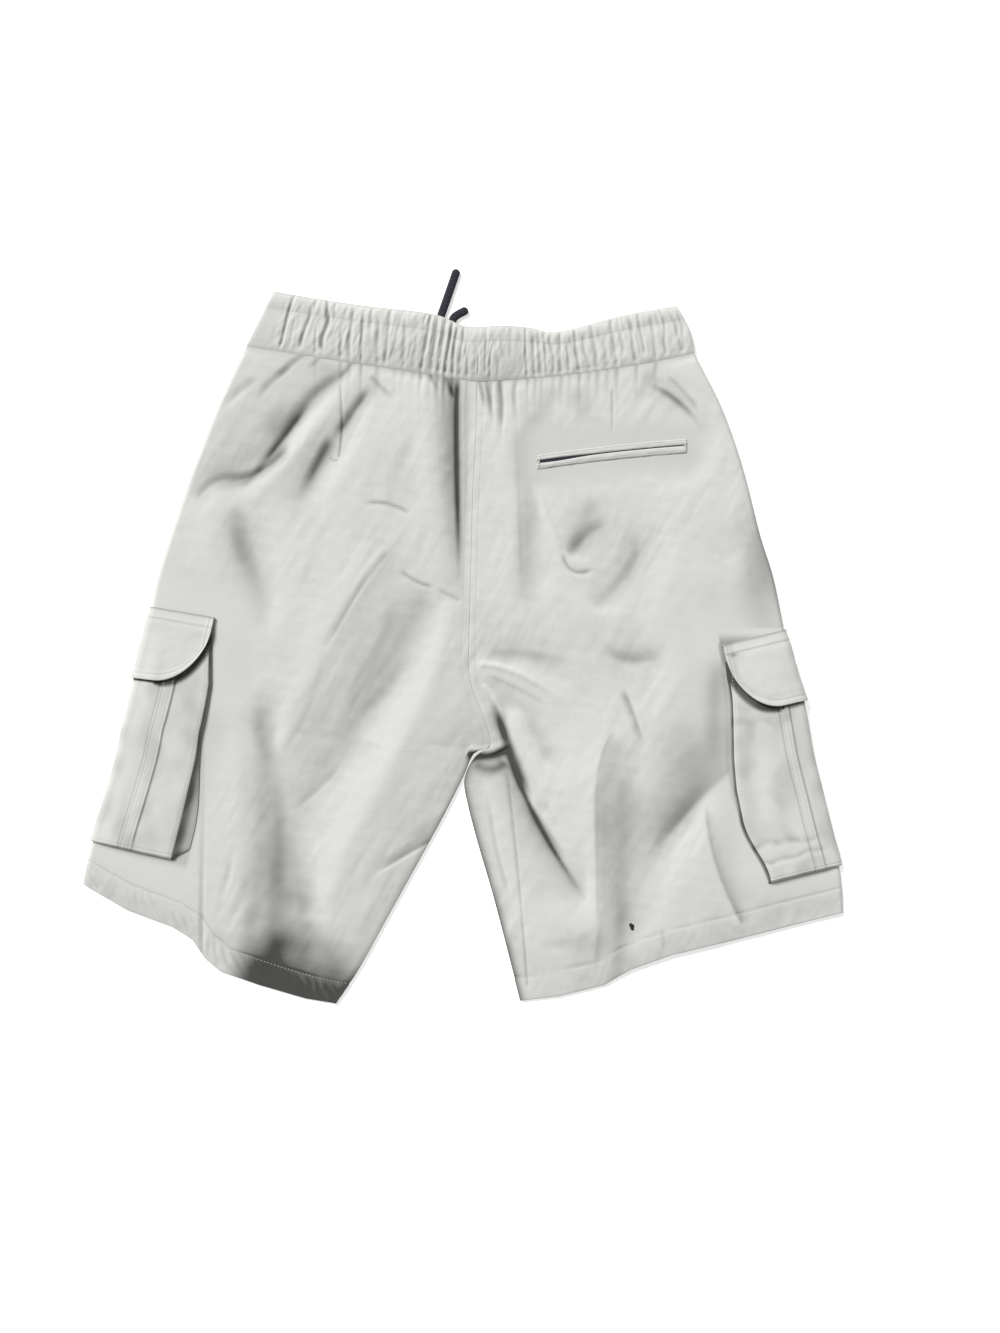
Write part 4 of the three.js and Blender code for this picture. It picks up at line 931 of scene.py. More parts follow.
def main_gathers():
    """The creases placed above, each with a bend and a width of its own."""
    random = np.random.default_rng(52)
    rows = []
    for at_seam, at_top, depth, low, high in MAIN_GATHERS:
        start = (at_seam - BAND_LEFT) / BAND_LENGTH
        end = (at_top - TOP_LEFT) / TOP_LENGTH
        rows.append({
            "at": (start + end) / 2, "lean": end - start, "bow": random.normal(0, 0.0016),
            "twist": random.uniform(4.0, 9.0), "phase": random.uniform(0, 6.3),
            "depth": depth, "width": 0.0062 + 0.0030 * random.uniform(0, 1),
            "low": low, "high": high,
        })
    return rows


def small_gathers(seed, pitch, low, high):
    """The shallow creases between the main ones, which end anywhere up the band."""
    random = np.random.default_rng(seed)
    rows = []
    at = GATHERED[0]
    while at < GATHERED[1]:
        at += pitch * random.uniform(0.55, 1.5)
        reach = low + (high - low) * np.sort(random.uniform(0, 1, 2))
        rows.append({
            "at": at, "lean": random.normal(0.0015, 0.0055), "bow": random.normal(0, 0.0020),
            "twist": random.uniform(4.0, 9.0), "phase": random.uniform(0, 6.3),
            "depth": random.uniform(0.25, 0.8), "width": random.uniform(0.004, 0.0075),
            "low": reach[0], "high": reach[1],
        })
    return rows


LONG_GATHERS = main_gathers()
TOP_GATHERS = small_gathers(91, GATHER_PITCH, 0.02, 1.0)


def creased(share, up, rows):
    """Height, below zero, of creases at a share of the band's length and of its height."""
    total = np.zeros(np.shape(share))
    for row in rows:
        bend = row["bow"] * np.sin(up * row["twist"] + row["phase"])
        place = row["at"] + row["lean"] * (up - 0.5) + bend
        q = np.clip(np.abs(share - place) / row["width"], 0, 1)
        low_end = 1.0 if row["low"] < 0 else smooth(up, row["low"] - 0.02, row["low"] + 0.16)
        high_end = smooth(-up, -row["high"] - 0.10, -row["high"] + 0.10)
        uneven = 0.84 + 0.16 * np.sin(up * row["twist"] * 1.7 + row["phase"] * 2)
        total -= row["depth"] * uneven * (1 - q) ** 1.4 * (1 + 0.4 * q) * low_end * high_end
    return total


def band_gathers(x, y):
    """The band's creases, carried down into the panels below its seam."""
    share = (x - BAND_LEFT) / BAND_LENGTH
    reaching = [row for row in LONG_GATHERS if row["low"] < 0]
    return creased(share, np.zeros(np.shape(share)), reaching)


TWILL_PALE = (0.632, 0.637, 0.606, 1)
# The deep colour is what the painted shade darkens the twill towards; uneven tone nudges it a little
# way too.
TWILL_DEEP_TONE_AND_PAINTED_SHADE = (0.062, 0.064, 0.058, 1)
TWILL_LINE = 0.00085
SLUB_SCALE = (60.0, 900.0, 300.0)


def twill_finish():
    """Brushed cotton twill: fine diagonal lines, slubs along the weft, soft uneven tone, and the
    shade painted on each piece, read from its shade attribute.
    """
    shader = Shader("pale_twill")
    place = shader.node("ShaderNodeTexCoord", {}, {}, output=3)
    lines = shader.node(
        "ShaderNodeTexWave", {"wave_type": "BANDS", "bands_direction": "DIAGONAL"},
        {"Vector": place, "Scale": 2 * math.pi / (20 * TWILL_LINE) * 1.4, "Distortion": 0.6,
         "Detail": 1.0, "Detail Scale": 2.0}, output=1)
    stretched = shader.node("ShaderNodeVectorMath", {"operation": "MULTIPLY"},
                            {0: place, 1: SLUB_SCALE})
    slubs = shader.node("ShaderNodeTexNoise", {}, {"Vector": stretched, "Scale": 1.0, "Detail": 2.0})
    mottle = shader.node("ShaderNodeTexNoise", {}, {"Vector": place, "Scale": 26.0, "Detail": 4.0,
                                                    "Roughness": 0.55})
    crumple = shader.node("ShaderNodeTexNoise", {}, {"Vector": place, "Scale": 85.0, "Detail": 5.0,
                                                     "Roughness": 0.6, "Distortion": 0.4})
    shade = shader.node("ShaderNodeAttribute", {"attribute_name": "shade"}, {}, output=2)
    # Painted shade from each piece's attribute, with a little uneven tone, mixes the pale twill
    # towards the near-black deep colour.
    shade_and_tone = (shade + (mottle - 0.5) * 0.05 + (slubs - 0.5) * 0.05 + (lines - 0.5) * 0.03).clamp()
    base = shader.mix_colour(shade_and_tone, TWILL_PALE, TWILL_DEEP_TONE_AND_PAINTED_SHADE)
    height = lines * 0.25 + slubs * 0.35 + crumple * 0.9
    normal = shader.node("ShaderNodeBump", {},
                         {"Strength": 0.55, "Distance": 0.00035, "Height": height})
    return shader.finish(base, 0.93, normal, Sheen_Weight=0.12, Sheen_Roughness=0.6,
                         Specular_IOR_Level=0.15)


twill = twill_finish()
WAIST_HEIGHT = 5.5
PLAIN_SHADE = 0.04
HEM_PUCKER = {"left": 0.20, "right": 0.06}
PUCKER_PITCH = 8.5
INSIDE_LEG_SHADE = {"left": 0.5, "right": 0.85}
SPLAY = {"left": 11.0, "right": 1.0}
SPLAYED = (110, 188)
POCKET_ROUNDING = {"left": 0.0, "right": 14.0}

# How far up from the hem shade is painted on the cloth where it falls away, by its place across the
# legs.
HEM_SHADE = {
    "left": [(-214, -10), (-200, 6), (-186, 30), (-172, 44), (-158, 50), (-148, 60), (-138, 62),
             (-124, 52), (-108, 42), (-90, 34)],
    "right": [(60, 0), (90, 4), (400, 0)],
}
PANELS = {"back": {"side": 1, "rows": 330, "columns": 240, "drawn_in": 0},
          "front": {"side": -1, "rows": 110, "columns": 80, "drawn_in": 0.8}}


def line(distance, strength, half_width):
    """A soft line: its strength where the distance is nothing, fading to either side."""
    return strength * np.exp(-(distance / half_width) ** 2)


def groove(distance, depth, half_width):
    return -line(distance, depth, half_width)


def pocket_width(leg, down):
    rounded = POCKET_ROUNDING[leg["name"]] * smooth(down, POCKET_DROP - 52, POCKET_DROP + 4)
    share = (down - MOUTH_DROP) / (POCKET_DROP - MOUTH_DROP)
    return between(leg["pocket_widths"], share) - rounded


def under_flap(across, down):
    """Painted shadow on the cloth just outside the rounded edge of a flap: most at its corner."""
    corner, corner_down = FLAP_CORNER
    aside = np.maximum(across - FLAP_WIDTH + corner, 0) / corner
    below = np.maximum(down - FLAP_LENGTH + corner_down, 0) / corner_down
    outside = np.maximum((np.hypot(aside, below) - 1) * (corner + corner_down) / 2, 0)
    reach = 2.4 + 5.2 * np.sqrt(np.abs(np.sin(2 * np.arctan2(below, aside + 1e-6))))
    return np.exp(-(outside / reach) ** 7) * smooth(down, 2, 12) * (across > 0)


def contour(points, values, level, each="column"):
    """The line over a sheet where a value passes a level, a point for each column or row."""
    if each == "row":
        points, values = np.swapaxes(points, 0, 1), values.T
    passed = []
    for column, value in zip(np.swapaxes(points, 0, 1), (values - level).T):
        passes = np.nonzero(value[:-1] * value[1:] < 0)[0]
        if len(passes):
            i = passes[-1]
            share = value[i] / (value[i] - value[i + 1])
            passed.append(column[i] * (1 - share) + column[i + 1] * share)
    return np.array(passed)


def washed(x, y):
    """The low unevenness of washed cloth, with streaks that run slanting down the leg."""
    streaks = ripples(x - 0.45 * y, 0.22 * y, 15, 5, octaves=2)
    drawn = (0.5 + 0.7 * ripples(x, y, 90, 6)) * streaks
    return 0.18 * ripples(x, y, 46, 3) + 0.07 * ripples(x, y, 13, 8) + 0.13 * drawn


def hem_puckers(across, to_hem):
    """Slanting ripples that the hem's stitching draws up, half a unit high or so."""
    in_hem = np.sin(np.pi * np.clip(to_hem / HEM_DEPTH, 0, 1))
    uneven = 0.5 + 0.5 * ripples(across, to_hem, 40, 12)
    slant = across + 0.7 * to_hem + 3 * ripples(across, to_hem, 60, 14)
    return np.sin(slant * 2 * np.pi / PUCKER_PITCH) * in_hem * uneven


def sewn_detail(leg, to_hem, to_waist, to_inner, seamed, pucker, waist_gathers):
    """Height that a back panel's hem, centre seam and waist seam add to it."""
    detail = groove(to_hem - HEM_DEPTH, 0.28, 0.9) + HEM_PUCKER[leg["name"]] * pucker
    detail += 0.25 * smooth(-to_hem, -HEM_DEPTH, 2 - HEM_DEPTH)
    detail += (groove(to_inner, 0.35, 1.1) + groove(to_inner - 6.5, 0.14, 0.7)) * (1 - seamed)
    return detail + 1.25 * waist_gathers + groove(to_waist, 0.3, 1.6)


def lying_shade(leg, points, across, down):
    """Shade painted on a back panel: dark in its hollows and folds, a little light on its crests,
    and beside its pocket and flap.
    """
    x, y, height = (points[..., k] for k in range(3))
    hollow = np.clip(blurred(height, 5) - height, -0.6, 1.6)
    broad = np.clip(blurred(height, 22) - height, -2, 3)
    beside = across - pocket_width(leg, down)
    covered = smooth(-beside, -1.5, 1.5) * ramp(down - 0.5, 3) * ramp(POCKET_DROP - down, 5)
    creases = fold_relief(x, y)[1] * (1 - covered) * welt_calm(x, y)
    along_pocket = (smooth(down, MOUTH_DROP, MOUTH_DROP + 30)
                    * smooth(-down, -POCKET_DROP - 6, -POCKET_DROP))
    splayed = SPLAY[leg["name"]] * smooth(down, *SPLAYED)
    return (0.15 * hollow + 0.052 * broad + 1.1 * creases + 0.5 * under_flap(across, down)
            + line(np.maximum(beside - splayed, 0), 0.25, 2.2) * along_pocket)


def sewn_shade(leg, x, y, to_hem, to_waist, to_inner, seamed, pucker, waist_gathers):
    """Shade painted on a back panel along its seams, in its puckers and where its hem falls away."""
    shade = line(to_hem - HEM_DEPTH, 0.16, 0.8) + line(to_inner, 0.12, 0.8) * (1 - seamed)
    shade += 0.6 * HEM_PUCKER[leg["name"]] * np.clip(-pucker, 0, 1)
    shade += 0.20 * np.clip(-waist_gathers, 0, 1) + 0.10 * np.exp(-to_waist / 1.6)
    shade += line(to_inner, INSIDE_LEG_SHADE[leg["name"]], 4.6) * seamed
    fallen = between(HEM_SHADE[leg["name"]], x) + 3 * ripples(x, y, 34, 17, octaves=2)
    deep = smooth(fallen - to_hem, -34, 30) * smooth(fallen, -4, 40)
    return shade + 0.58 * deep + 0.34 * deep * smooth(-to_hem, -40, -8)


def panel_piece(name, leg, side, rows, columns, drawn_in):
    """One panel of a leg. Side is 1 for a back panel, with all its detail, or -1, plain."""
    stations = row_stations(rows) * (1.0 if side > 0 else 0.998)
    width = leg_frame(leg, stations)["width"]
    share = np.linspace(0, 1, columns)
    share = 0.5 - 0.5 * np.cos(np.pi * share) * (1 - 0.25 * np.sin(np.pi * share) ** 2)
    across = np.maximum(share[None, :] * (width[:, None] - drawn_in), 1e-6)
    station = np.repeat(stations[:, None], columns, axis=1)
    place = leg_frame(leg, station)
    points, normals = leg_points(place, side * across, relief=washed if side > 0 else None)
    # Each panel carries painted shade in its shade attribute: a plain amount on a front panel; on a
    # back panel also the shade of its hollows, folds, seams and hem.
    shade = np.full(across.shape, PLAIN_SHADE)
    if side > 0:
        x, y = points[..., 0], points[..., 1]
        down_steps = np.linalg.norm(np.diff(points[..., :2], axis=0), axis=-1)
        to_hem = np.zeros(across.shape)
        to_hem[:-1] = np.cumsum(down_steps[::-1], axis=0)[::-1]
        to_waist = to_hem[:1] - to_hem
        to_inner = width[:, None] - across
        seamed = smooth(station, *SEAMED)
        waist_gathers = band_gathers(x, y) * np.exp(-to_waist / 11.0)
        edges = (to_hem, to_waist, to_inner, seamed, hem_puckers(across, to_hem), waist_gathers)
        points += normals * sewn_detail(leg, *edges)[..., None]
        free = smooth(to_waist, -2, 10)
        points[..., 2] = WAIST_HEIGHT + (points[..., 2] - WAIST_HEIGHT) * free
        down = place["distance"] + leg["pocket_skew"] * across - leg["flap_top"]
        shade += lying_shade(leg, points, across, down) + sewn_shade(leg, x, y, *edges)
        sewn[f"hem_{leg['name']}"] = contour(points, to_hem, HEM_DEPTH - 1.2)[3:-3]
        if leg["name"] == "right":
            in_from_seam = to_inner + 50 * (station > SEAMED_MIDDLE)
            sewn["centre_back"] = contour(points, in_from_seam, 5.2, each="row")
    to_side = np.minimum(across[-1], width[-1] - across[-1])
    turned_in = 1.0 + (HEM_DEPTH - 1.0) * smooth(to_side, 2, 14)
    points, normals, marks = rolled(
        points, normals, {"shade": shade}, "last_row", WALL + 0.6, turned_in)
    if (side < 0) != (leg["name"] == "left"):
        points, marks = mirrored(points, marks)
    return dressed(quad_mesh(name, points, material=twill, marks=marks))


panels = {}
sewn = {}
for side, leg in LEGS.items():
    for layer, kind in PANELS.items():
        panel = panel_piece(f"{layer}_panel_{side}", leg, **kind)
        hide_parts(f"{layer}_{side}")
        panels[f"{layer}_{side}"] = panel

# The cargo pockets: each wraps its side seam, half on the back and half under the front. The
# back half has a box pleat down it and stands off the leg on a bellows edge.
POCKET_EDGE = 1.4
POCKET_FOOT = 1.1
BELLOWS = 3.2
PLEAT_RAISE = 1.1
CRUMPLED = {"left": 0.0, "right": 1.0}
SLACK_SEED = {"left": 21, "right": 22}
POCKET_ROWS = 190
FACE_COLUMNS = 120
UNDER_COLUMNS = 60
WALL_COLUMNS = 12


def on_pocket(leg, down, across, away):
    """Points over a leg, by how far they are below the flap's seam and round from the side."""
    distance = leg["flap_top"] + down + leg["pocket_skew"] * across
    station = np.interp(distance, leg["distances"], leg["stations"])
    return leg_points(leg_frame(leg, station), across, away)


def bellows(across):
    """How far a full pocket stands off its leg: little at the side seam and round it."""
    under = 0.35 * BELLOWS * (1 - smooth(-across, 0, FOLD_ARC))
    over = BELLOWS * (0.35 + 0.65 * smooth(across, 0, 18))
    return np.where(across < 0, under, over)


def opened(down):
    """The share of that at each height: little at the mouth, where its top is sewn."""
    return 0.12 + 0.88 * smooth(down, 4, 58)


def crumple_wave(across):
    return 1.6 * np.sin(across / 11.0) + 0.9 * np.sin(across / 3.6 + 1)


def pocket_stand(side, leg, across, down):
    """How far a pocket's face stands off its leg, with its pleat, slack and crumples."""
    near, far = leg["pleat"]
    edge_in = pocket_width(leg, down) - POCKET_EDGE - across
    to_foot = POCKET_DROP - down
    stand = bellows(across) * np.sqrt(1 - (1 - np.clip(edge_in / 2.5, 0, 1)) ** 2 * 0.5)
    stand = stand * opened(down)
    pleat = smooth(across, near - 0.8, near + 0.6) * smooth(-across, -far - 0.8, -far + 0.6)
    hang = smooth(across, 2, 20)
    slack = (0.5 * ripples(down, across * 1.6, 70, SLACK_SEED[side], octaves=2)
             + 0.03 * ripples(down, across, 15, 23))
    stand = stand + (PLEAT_RAISE * pleat + hang * slack) * smooth(to_foot, 0, 14)
    wave = crumple_wave(across)
    stand = stand + CRUMPLED[side] * hang * (
        groove(down - 178 - wave, 0.6, 3.6) + groove(down - 190 + 0.8 * wave, 0.6, 2.6)
        + groove(down - 60 - wave, 0.4, 6.0) + groove(down - 75 - 2 * wave, 0.3, 4.0))
    stitched = (groove(edge_in - 2.0, 0.30, 0.7) + groove(across - near - 2.2, 0.25, 0.6)
                + groove(far - 2.2 - across, 0.25, 0.6) + groove(to_foot - 2.4, 0.3, 0.8))
    bottom = np.sqrt(1 - (1 - np.clip(to_foot / 2.2, 0, 1)) ** 2)
    return (stand + stitched * (across > 0)) * np.where(across > 0, 0.06 + 0.94 * bottom, 1)


def pocket_shade(side, leg, across, down, in_wall):
    """Shade painted on a pocket: on its wall most, then along its pleat, in its crumples and below
    its flap.
    """
    near, far = leg["pleat"]
    darkest = 2.5 + 0.5 * SPLAY[side] * smooth(down, 96, 186)
    shade = np.where(in_wall > 0.01, 0.24 + 0.71 * np.exp(-(in_wall / darkest) ** 4), 0.065)
    shade += line(across - near + 0.7, 0.34, 0.9) + line(across - far - 0.7, 0.34, 0.9)
    shade += 0.92 * under_flap(across, down)
    shade += 0.13 * np.clip(ripples(down, across * 1.6, 46, 24, octaves=2), -0.3, 1)
    wave = crumple_wave(across)
    uneven = np.clip(0.6 + ripples(across, down, 22, 25), 0, 1)
    shade += CRUMPLED[side] * smooth(across, 6, 24) * uneven * (
        line(down - 177 - wave, 0.16, 2.6) + line(down - 189 + 0.8 * wave, 0.14, 2.0)
        + line(down - 68 - wave, 0.12, 8.0))
    return np.clip(shade, 0, 1)


def pocket_piece(side, leg):
    face = np.concatenate([np.linspace(1, 0, FACE_COLUMNS), np.linspace(-0.02, -1, UNDER_COLUMNS)])
    wall = np.linspace(0, 1, WALL_COLUMNS, endpoint=False)
    rows = np.sin(np.linspace(0, np.pi / 2, POCKET_ROWS))[:, None]
    down = MOUTH_DROP + (POCKET_DROP - MOUTH_DROP) * rows
    width = pocket_width(leg, down)
    across = np.where(face >= 0, face * (width - POCKET_EDGE), face * POCKET_UNDER)
    stand = pocket_stand(side, leg, across, np.broadcast_to(down, across.shape))
    away = LAYER_GAP + WALL + stand
    foot = POCKET_FOOT + SPLAY[side] * smooth(down, *SPLAYED) * smooth(POCKET_DROP - down, 0, 9)
    wall_across = width + foot * (1 - wall) ** 1.3 - POCKET_EDGE * wall ** 3
    top = away[:, :1] - LAYER_GAP
    wall_away = LAYER_GAP + 0.3 + (top - 0.3) * np.sin(wall * np.pi / 2) ** 0.8
    across = np.concatenate([wall_across, across], axis=1)
    away = np.concatenate([wall_away, away], axis=1)
    down = np.repeat(down, across.shape[1], axis=1)
    points, normals = on_pocket(leg, down, across, away)
    in_wall = np.maximum(across - width + POCKET_EDGE, 0)
    marks = {"shade": pocket_shade(side, leg, across, down, in_wall)}
    face_in = width - POCKET_EDGE - across
    sewn[f"pocket_edge_{side}"] = contour(
        points, in_wall + np.where(face_in >= 0, face_in, -5.0), 2.0, each="row")
    near, far = leg["pleat"]
    for kind, at in (("near", near + 1.9), ("far", far - 1.9)):
        sewn[f"pleat_{kind}_{side}"] = contour(points, across - at, 0.0, each="row")[4:-8]
    upper = across[-1] > 3
    sewn[f"pocket_foot_{side}"] = contour(
        points[:, upper], POCKET_DROP - down[:, upper], 2.6)[16:-2]
    points, normals, marks = rolled(points, normals, marks, "last_row", 1.4, 8)
    if side == "left":
        points, marks = mirrored(points, marks)
    pocket = quad_mesh(f"pocket_{side}", points, material=twill, marks=marks)
    dressed(pocket, f"cargo_pocket_{side}")


for side, leg in LEGS.items():
    pocket_piece(side, leg)

# The flaps: two layers of twill turned out and topstitched, sewn on above the pocket's
# mouth. The back corner is cut to a round and the edge stands a little off the pocket.
FLAP_CURL = 1.2
FLAP_STITCHED = 4.5
FLAP_SEWN_ON = 8.3
FLAP_SEED = {"left": 31, "right": 32}


def flap_piece(side, leg):
    corner, corner_down = FLAP_CORNER
    turn = np.linspace(0, np.pi / 2, 90)
    crossings = np.concatenate([
        FLAP_WIDTH - corner + corner * np.cos(turn), np.linspace(FLAP_WIDTH - corner, 0, 30)[1:],
        np.linspace(-0.5, -POCKET_UNDER, 40)])
    share = np.linspace(0, 1, 90)[:, None] ** 0.9
    across = np.repeat(crossings[None, :], len(share), axis=0)
    over = np.clip((across - FLAP_WIDTH + corner) / corner, 0, 1)
    full = FLAP_LENGTH - corner_down * (1 - np.sqrt(1 - over * over))
    down = share * full
    covered = smooth(down, 0, MOUTH_DROP)
    over_pleat = PLEAT_RAISE * smooth(across, 0, leg["pleat"][0] - 4)
    width = pocket_width(leg, down) + 3
    sitting = bellows(across) * np.where(across > 0, smooth(width - across, 0, 3), 1)
    to_edge = np.where(across > 0, np.minimum((1 - share) * full, FLAP_WIDTH + 1.5 - across), 99)
    stand = covered * (WALL + LAYER_GAP) + opened(down) * (sitting + over_pleat)
    stand += FLAP_CURL * smooth(-to_edge, -9, 0) + groove(to_edge - FLAP_STITCHED, 0.35, 0.7)
    stand += 0.25 * covered * ripples(down, across, 30, FLAP_SEED[side])
    stand += 0.25 * smooth(-down, -9.0, -7.6) + groove(down - FLAP_SEWN_ON, 0.25, 0.6)
    points, normals = on_pocket(leg, down, across, LAYER_GAP + WALL + stand)
    # Painted shade along the flap's seam and stitching and at its top edge; on the right flap also
    # inside its curled edge and at a pucker by its corner.
    shade = 0.05 + line(down - 8.6, 0.14, 0.9) + line(to_edge - FLAP_STITCHED, 0.09, 0.8)
    shade += CRUMPLED[side] * line(to_edge - 7.2, 0.13, 2.4) * smooth(across, 8, 30)
    shade += CRUMPLED[side] * line(across - 48, 0.45, 3.6) * line(down - 10, 1, 1.8)
    shade += line(down, 0.45, 0.9)
    back = across[0] > 1
    sewn[f"flap_top_{side}"] = contour(points[:, back], down[:, back], FLAP_SEWN_ON - 0.1)
    sewn[f"flap_edge_{side}"] = contour(points[:, back], -to_edge[:, back], 0.1 - FLAP_STITCHED)
    marks = {"shade": shade}
    for border, thickness, turned_in in (
            ("last_row", 1.5, 6), ("first_column", 1.5, 4), ("first_row", 1.2, 1)):
        points, normals, marks = rolled(points, normals, marks, border, thickness, turned_in)
    points[..., 2] = np.maximum(points[..., 2], 0)
    if side == "left":
        points, marks = mirrored(points, marks)
    flap = quad_mesh(f"flap_{side}", points, material=twill, marks=marks)
    dressed(flap, f"cargo_flap_{side}")


for side, leg in LEGS.items():
    flap_piece(side, leg)

# The back pocket: two narrow welts over a closed slit, each a folded strip of the same
# twill, with a row of stitches along it; a near-black sheet between them is painted shadow.
WELT_BASE = LAID_HEIGHT + 0.1
WELT_COLUMNS = 220
WELT_ROWS = 21
WELT_STITCHED = 0.28
SLIT_HALF = 0.4
SLIT_OPEN = 2.0
# The near-black sheet under the slit is painted shadow, standing for the shade between the welts.
SLIT_SHADOW_HALF_WIDTH = 2.4
SLIT_SHADOW_RAISED = 0.35
SLIT_SHADOW_COLOUR = (0.02, 0.02, 0.03, 1)


def grid_of(first, second):
    """Two lists as full grids, rows for the first and columns for the second."""
    return np.meshgrid(first, second, indexing="ij")


def on_welt(share, offset):
    """The place at a share of the slit's length, that far above or below it."""
    x = WELT_FROM[0] + (WELT_TO[0] - WELT_FROM[0]) * share
    slit = (WELT_FROM[1] + (WELT_TO[1] - WELT_FROM[1]) * share
            + WELT_BOW * 4 * share * (1 - share))
    return x, slit + offset


def welt_piece(name, low, high, node):
    """One welt, between two heights off the slit: a face, stitched, over a flat underside."""
    share, up = grid_of(np.linspace(0, 1, WELT_COLUMNS), np.linspace(0, 1, WELT_ROWS))
    is_lower = low < 0
    near_slit = up if is_lower else 1 - up
    gap = line(share - 0.12, SLIT_OPEN, 0.18) * (-0.7 if is_lower else 0.3)
    x, y = on_welt(share, low + (high - low) * up + gap * smooth(near_slit, 0.2, 1.0))
    ends = np.sqrt(1 - (1 - np.clip(np.minimum(share, 1 - share) / 0.008, 0, 1)) ** 2)
    round_over = np.sqrt(1 - np.clip((near_slit - 0.72) / 0.28, 0, 1) ** 2 * 0.85)
    lie = WALL * (0.25 + 0.75 * smooth(near_slit, 0.0, 0.2)) * round_over * (0.2 + 0.8 * ends)
    lie += groove((near_slit - WELT_STITCHED) * (high - low), 0.3, 0.5) * ends
    lie += 0.12 * ripples(x, y * 3, 18, 41)
    points = np.stack([x, y, WELT_BASE + lie], axis=-1)
    sewn[name] = contour(points, near_slit, WELT_STITCHED, each="row")[2:-2]
    under = points.copy()
    under[..., 2] = WELT_BASE + 0.05
    # Painted shade along the welt's stitch row.
    marks = {"shade": 0.06 + line(near_slit - WELT_STITCHED, 0.15, 0.1)}
    sheets = [(points, marks), mirrored(under, marks)]
    first, second = sheets if is_lower else sheets[::-1]
    points = np.concatenate([first[0], second[0]], axis=1)[::-1]
    shade = np.concatenate([first[1]["shade"], second[1]["shade"]], axis=1)[::-1]
    welt = quad_mesh(name, points, material=twill, marks={"shade": shade})
    dressed(welt, node)


# The slit's painted shadow: a near-black sheet just under the welts.
shadow_share, shadow_up = grid_of(np.linspace(0.006, 0.994, 60), np.linspace(-1, 1, 5))
shadow_x, shadow_y = on_welt(shadow_share, shadow_up * SLIT_SHADOW_HALF_WIDTH)
shadow_z = np.full(shadow_x.shape, WELT_BASE + SLIT_SHADOW_RAISED)
slit_shadow = quad_mesh("slit_shadow_sheet", np.stack([shadow_x, shadow_y, shadow_z], axis=-1)[::-1],
                   material=Shader("painted_slit_shadow").finish(SLIT_SHADOW_COLOUR, 0.9))
dressed(slit_shadow)
welt_piece("upper_welt", SLIT_HALF, WELT_UPPER, "welt_upper")
welt_piece("lower_welt", -WELT_LOWER, -SLIT_HALF, "welt_lower")

# The waistband: one folded strip of twill round a wide elastic, stitched along its length
# near the top, so that it gathers. Its back half lies on its front half.
CASING = 3.4
BAND_TOP = [
    (-161.5, 303), (-124, 296.5), (-79, 289.5), (-25.5, 282.5), (3.5, 272), (33, 273),
    (57, 271.5), (81, 268.5), (137, 282.5), (182, 290.5),
]
EYELET_THICKNESS = 0.8
CORD_CLEARANCE = 0.4
BAND_LIFT = CORD_THICKNESS + CORD_CLEARANCE + EYELET_THICKNESS + SEAM_GAP
BAND_RAISED = (-42, 16, 31)
BAND_SECTION = [
    (0, 2.0), (0.03, 2.4), (0.08, 2.9), (0.16, 3.5), (0.26, 3.9), (0.36, 4.1), (0.46, 4.1),
    (0.58, 3.9), (0.68, 3.5), (0.72, 3.3), (0.76, 3.5), (0.85, 3.8), (0.92, 3.5),
    (0.97, 2.7), (1, 1.6),
]
STITCH_ROW = 0.72
FRONT_BOTTOM = 0.1
FRONT_HEIGHT = 0.78
BAND_SEWN_IN = 6


def band_plan(share, up):
    """Where the band lies, at a share of its length and of its height from its seam up."""
    frames = [leg_frame(leg, np.zeros(1)) for leg in LEGS.values()]
    left_length, right_length = (f["length"][0] for f in frames)
    middle = left_length / (left_length + right_length)
    seam = np.zeros(share.shape + (2,))
    for is_left, leg in ((True, LEGS["left"]), (False, LEGS["right"])):
        chosen = (share <= middle) == is_left
        part = share[chosen] / middle if is_left else (1 - share[chosen]) / (1 - middle)
        place = leg_frame(leg, np.zeros(part.shape))
        across = np.maximum(part * place["width"], 1e-6)
        seam[chosen] = leg_points(place, across)[0][..., :2]
    shares = [(x - BAND_TOP[0][0]) / (BAND_TOP[-1][0] - BAND_TOP[0][0]) for x, _ in BAND_TOP]
    top = along(BAND_TOP, np.interp(share, shares, np.arange(len(shares))))
    bulge = np.clip((share - 0.9) / 0.1, 0, 1) * 3.4 * np.sin(up * np.pi)
    x = seam[..., 0] + (top[..., 0] - seam[..., 0]) * up + bulge
    y = seam[..., 1] + SEAM_GAP + (top[..., 1] - seam[..., 1] - SEAM_GAP) * up
    return x, y


def band_rise(x, up, front):
    """Height that the cords and eyelets lift each half of the band by."""
    low, high, reach = BAND_RAISED
    if front:
        return (BAND_LIFT * smooth(x, low - reach, low) * smooth(-x, -high - reach, -high)
                * smooth(up, 0.02, 0.28))
    return (BAND_LIFT * smooth(x, low - 3 * reach, low + 8) * smooth(-x, -high - 3 * reach, 8 - high)
            * smooth(up, -0.1, 0.75))


def gathers(share, up):
    """Height that the band's creases and its unevenness add: none in the plain left end."""
    plain = smooth(share, 0.03, 0.07)
    small = ripples(share * 400, up * 22, 9, 61, octaves=2)
    broad = ripples(share * 380, up * 12, 38, 62, octaves=1)
    folds = creased(share, up, LONG_GATHERS) + 0.8 * creased(share, up, TOP_GATHERS)
    return plain * (np.maximum(1.2 * folds, -2.4) + 0.26 * small) + 0.35 * broad


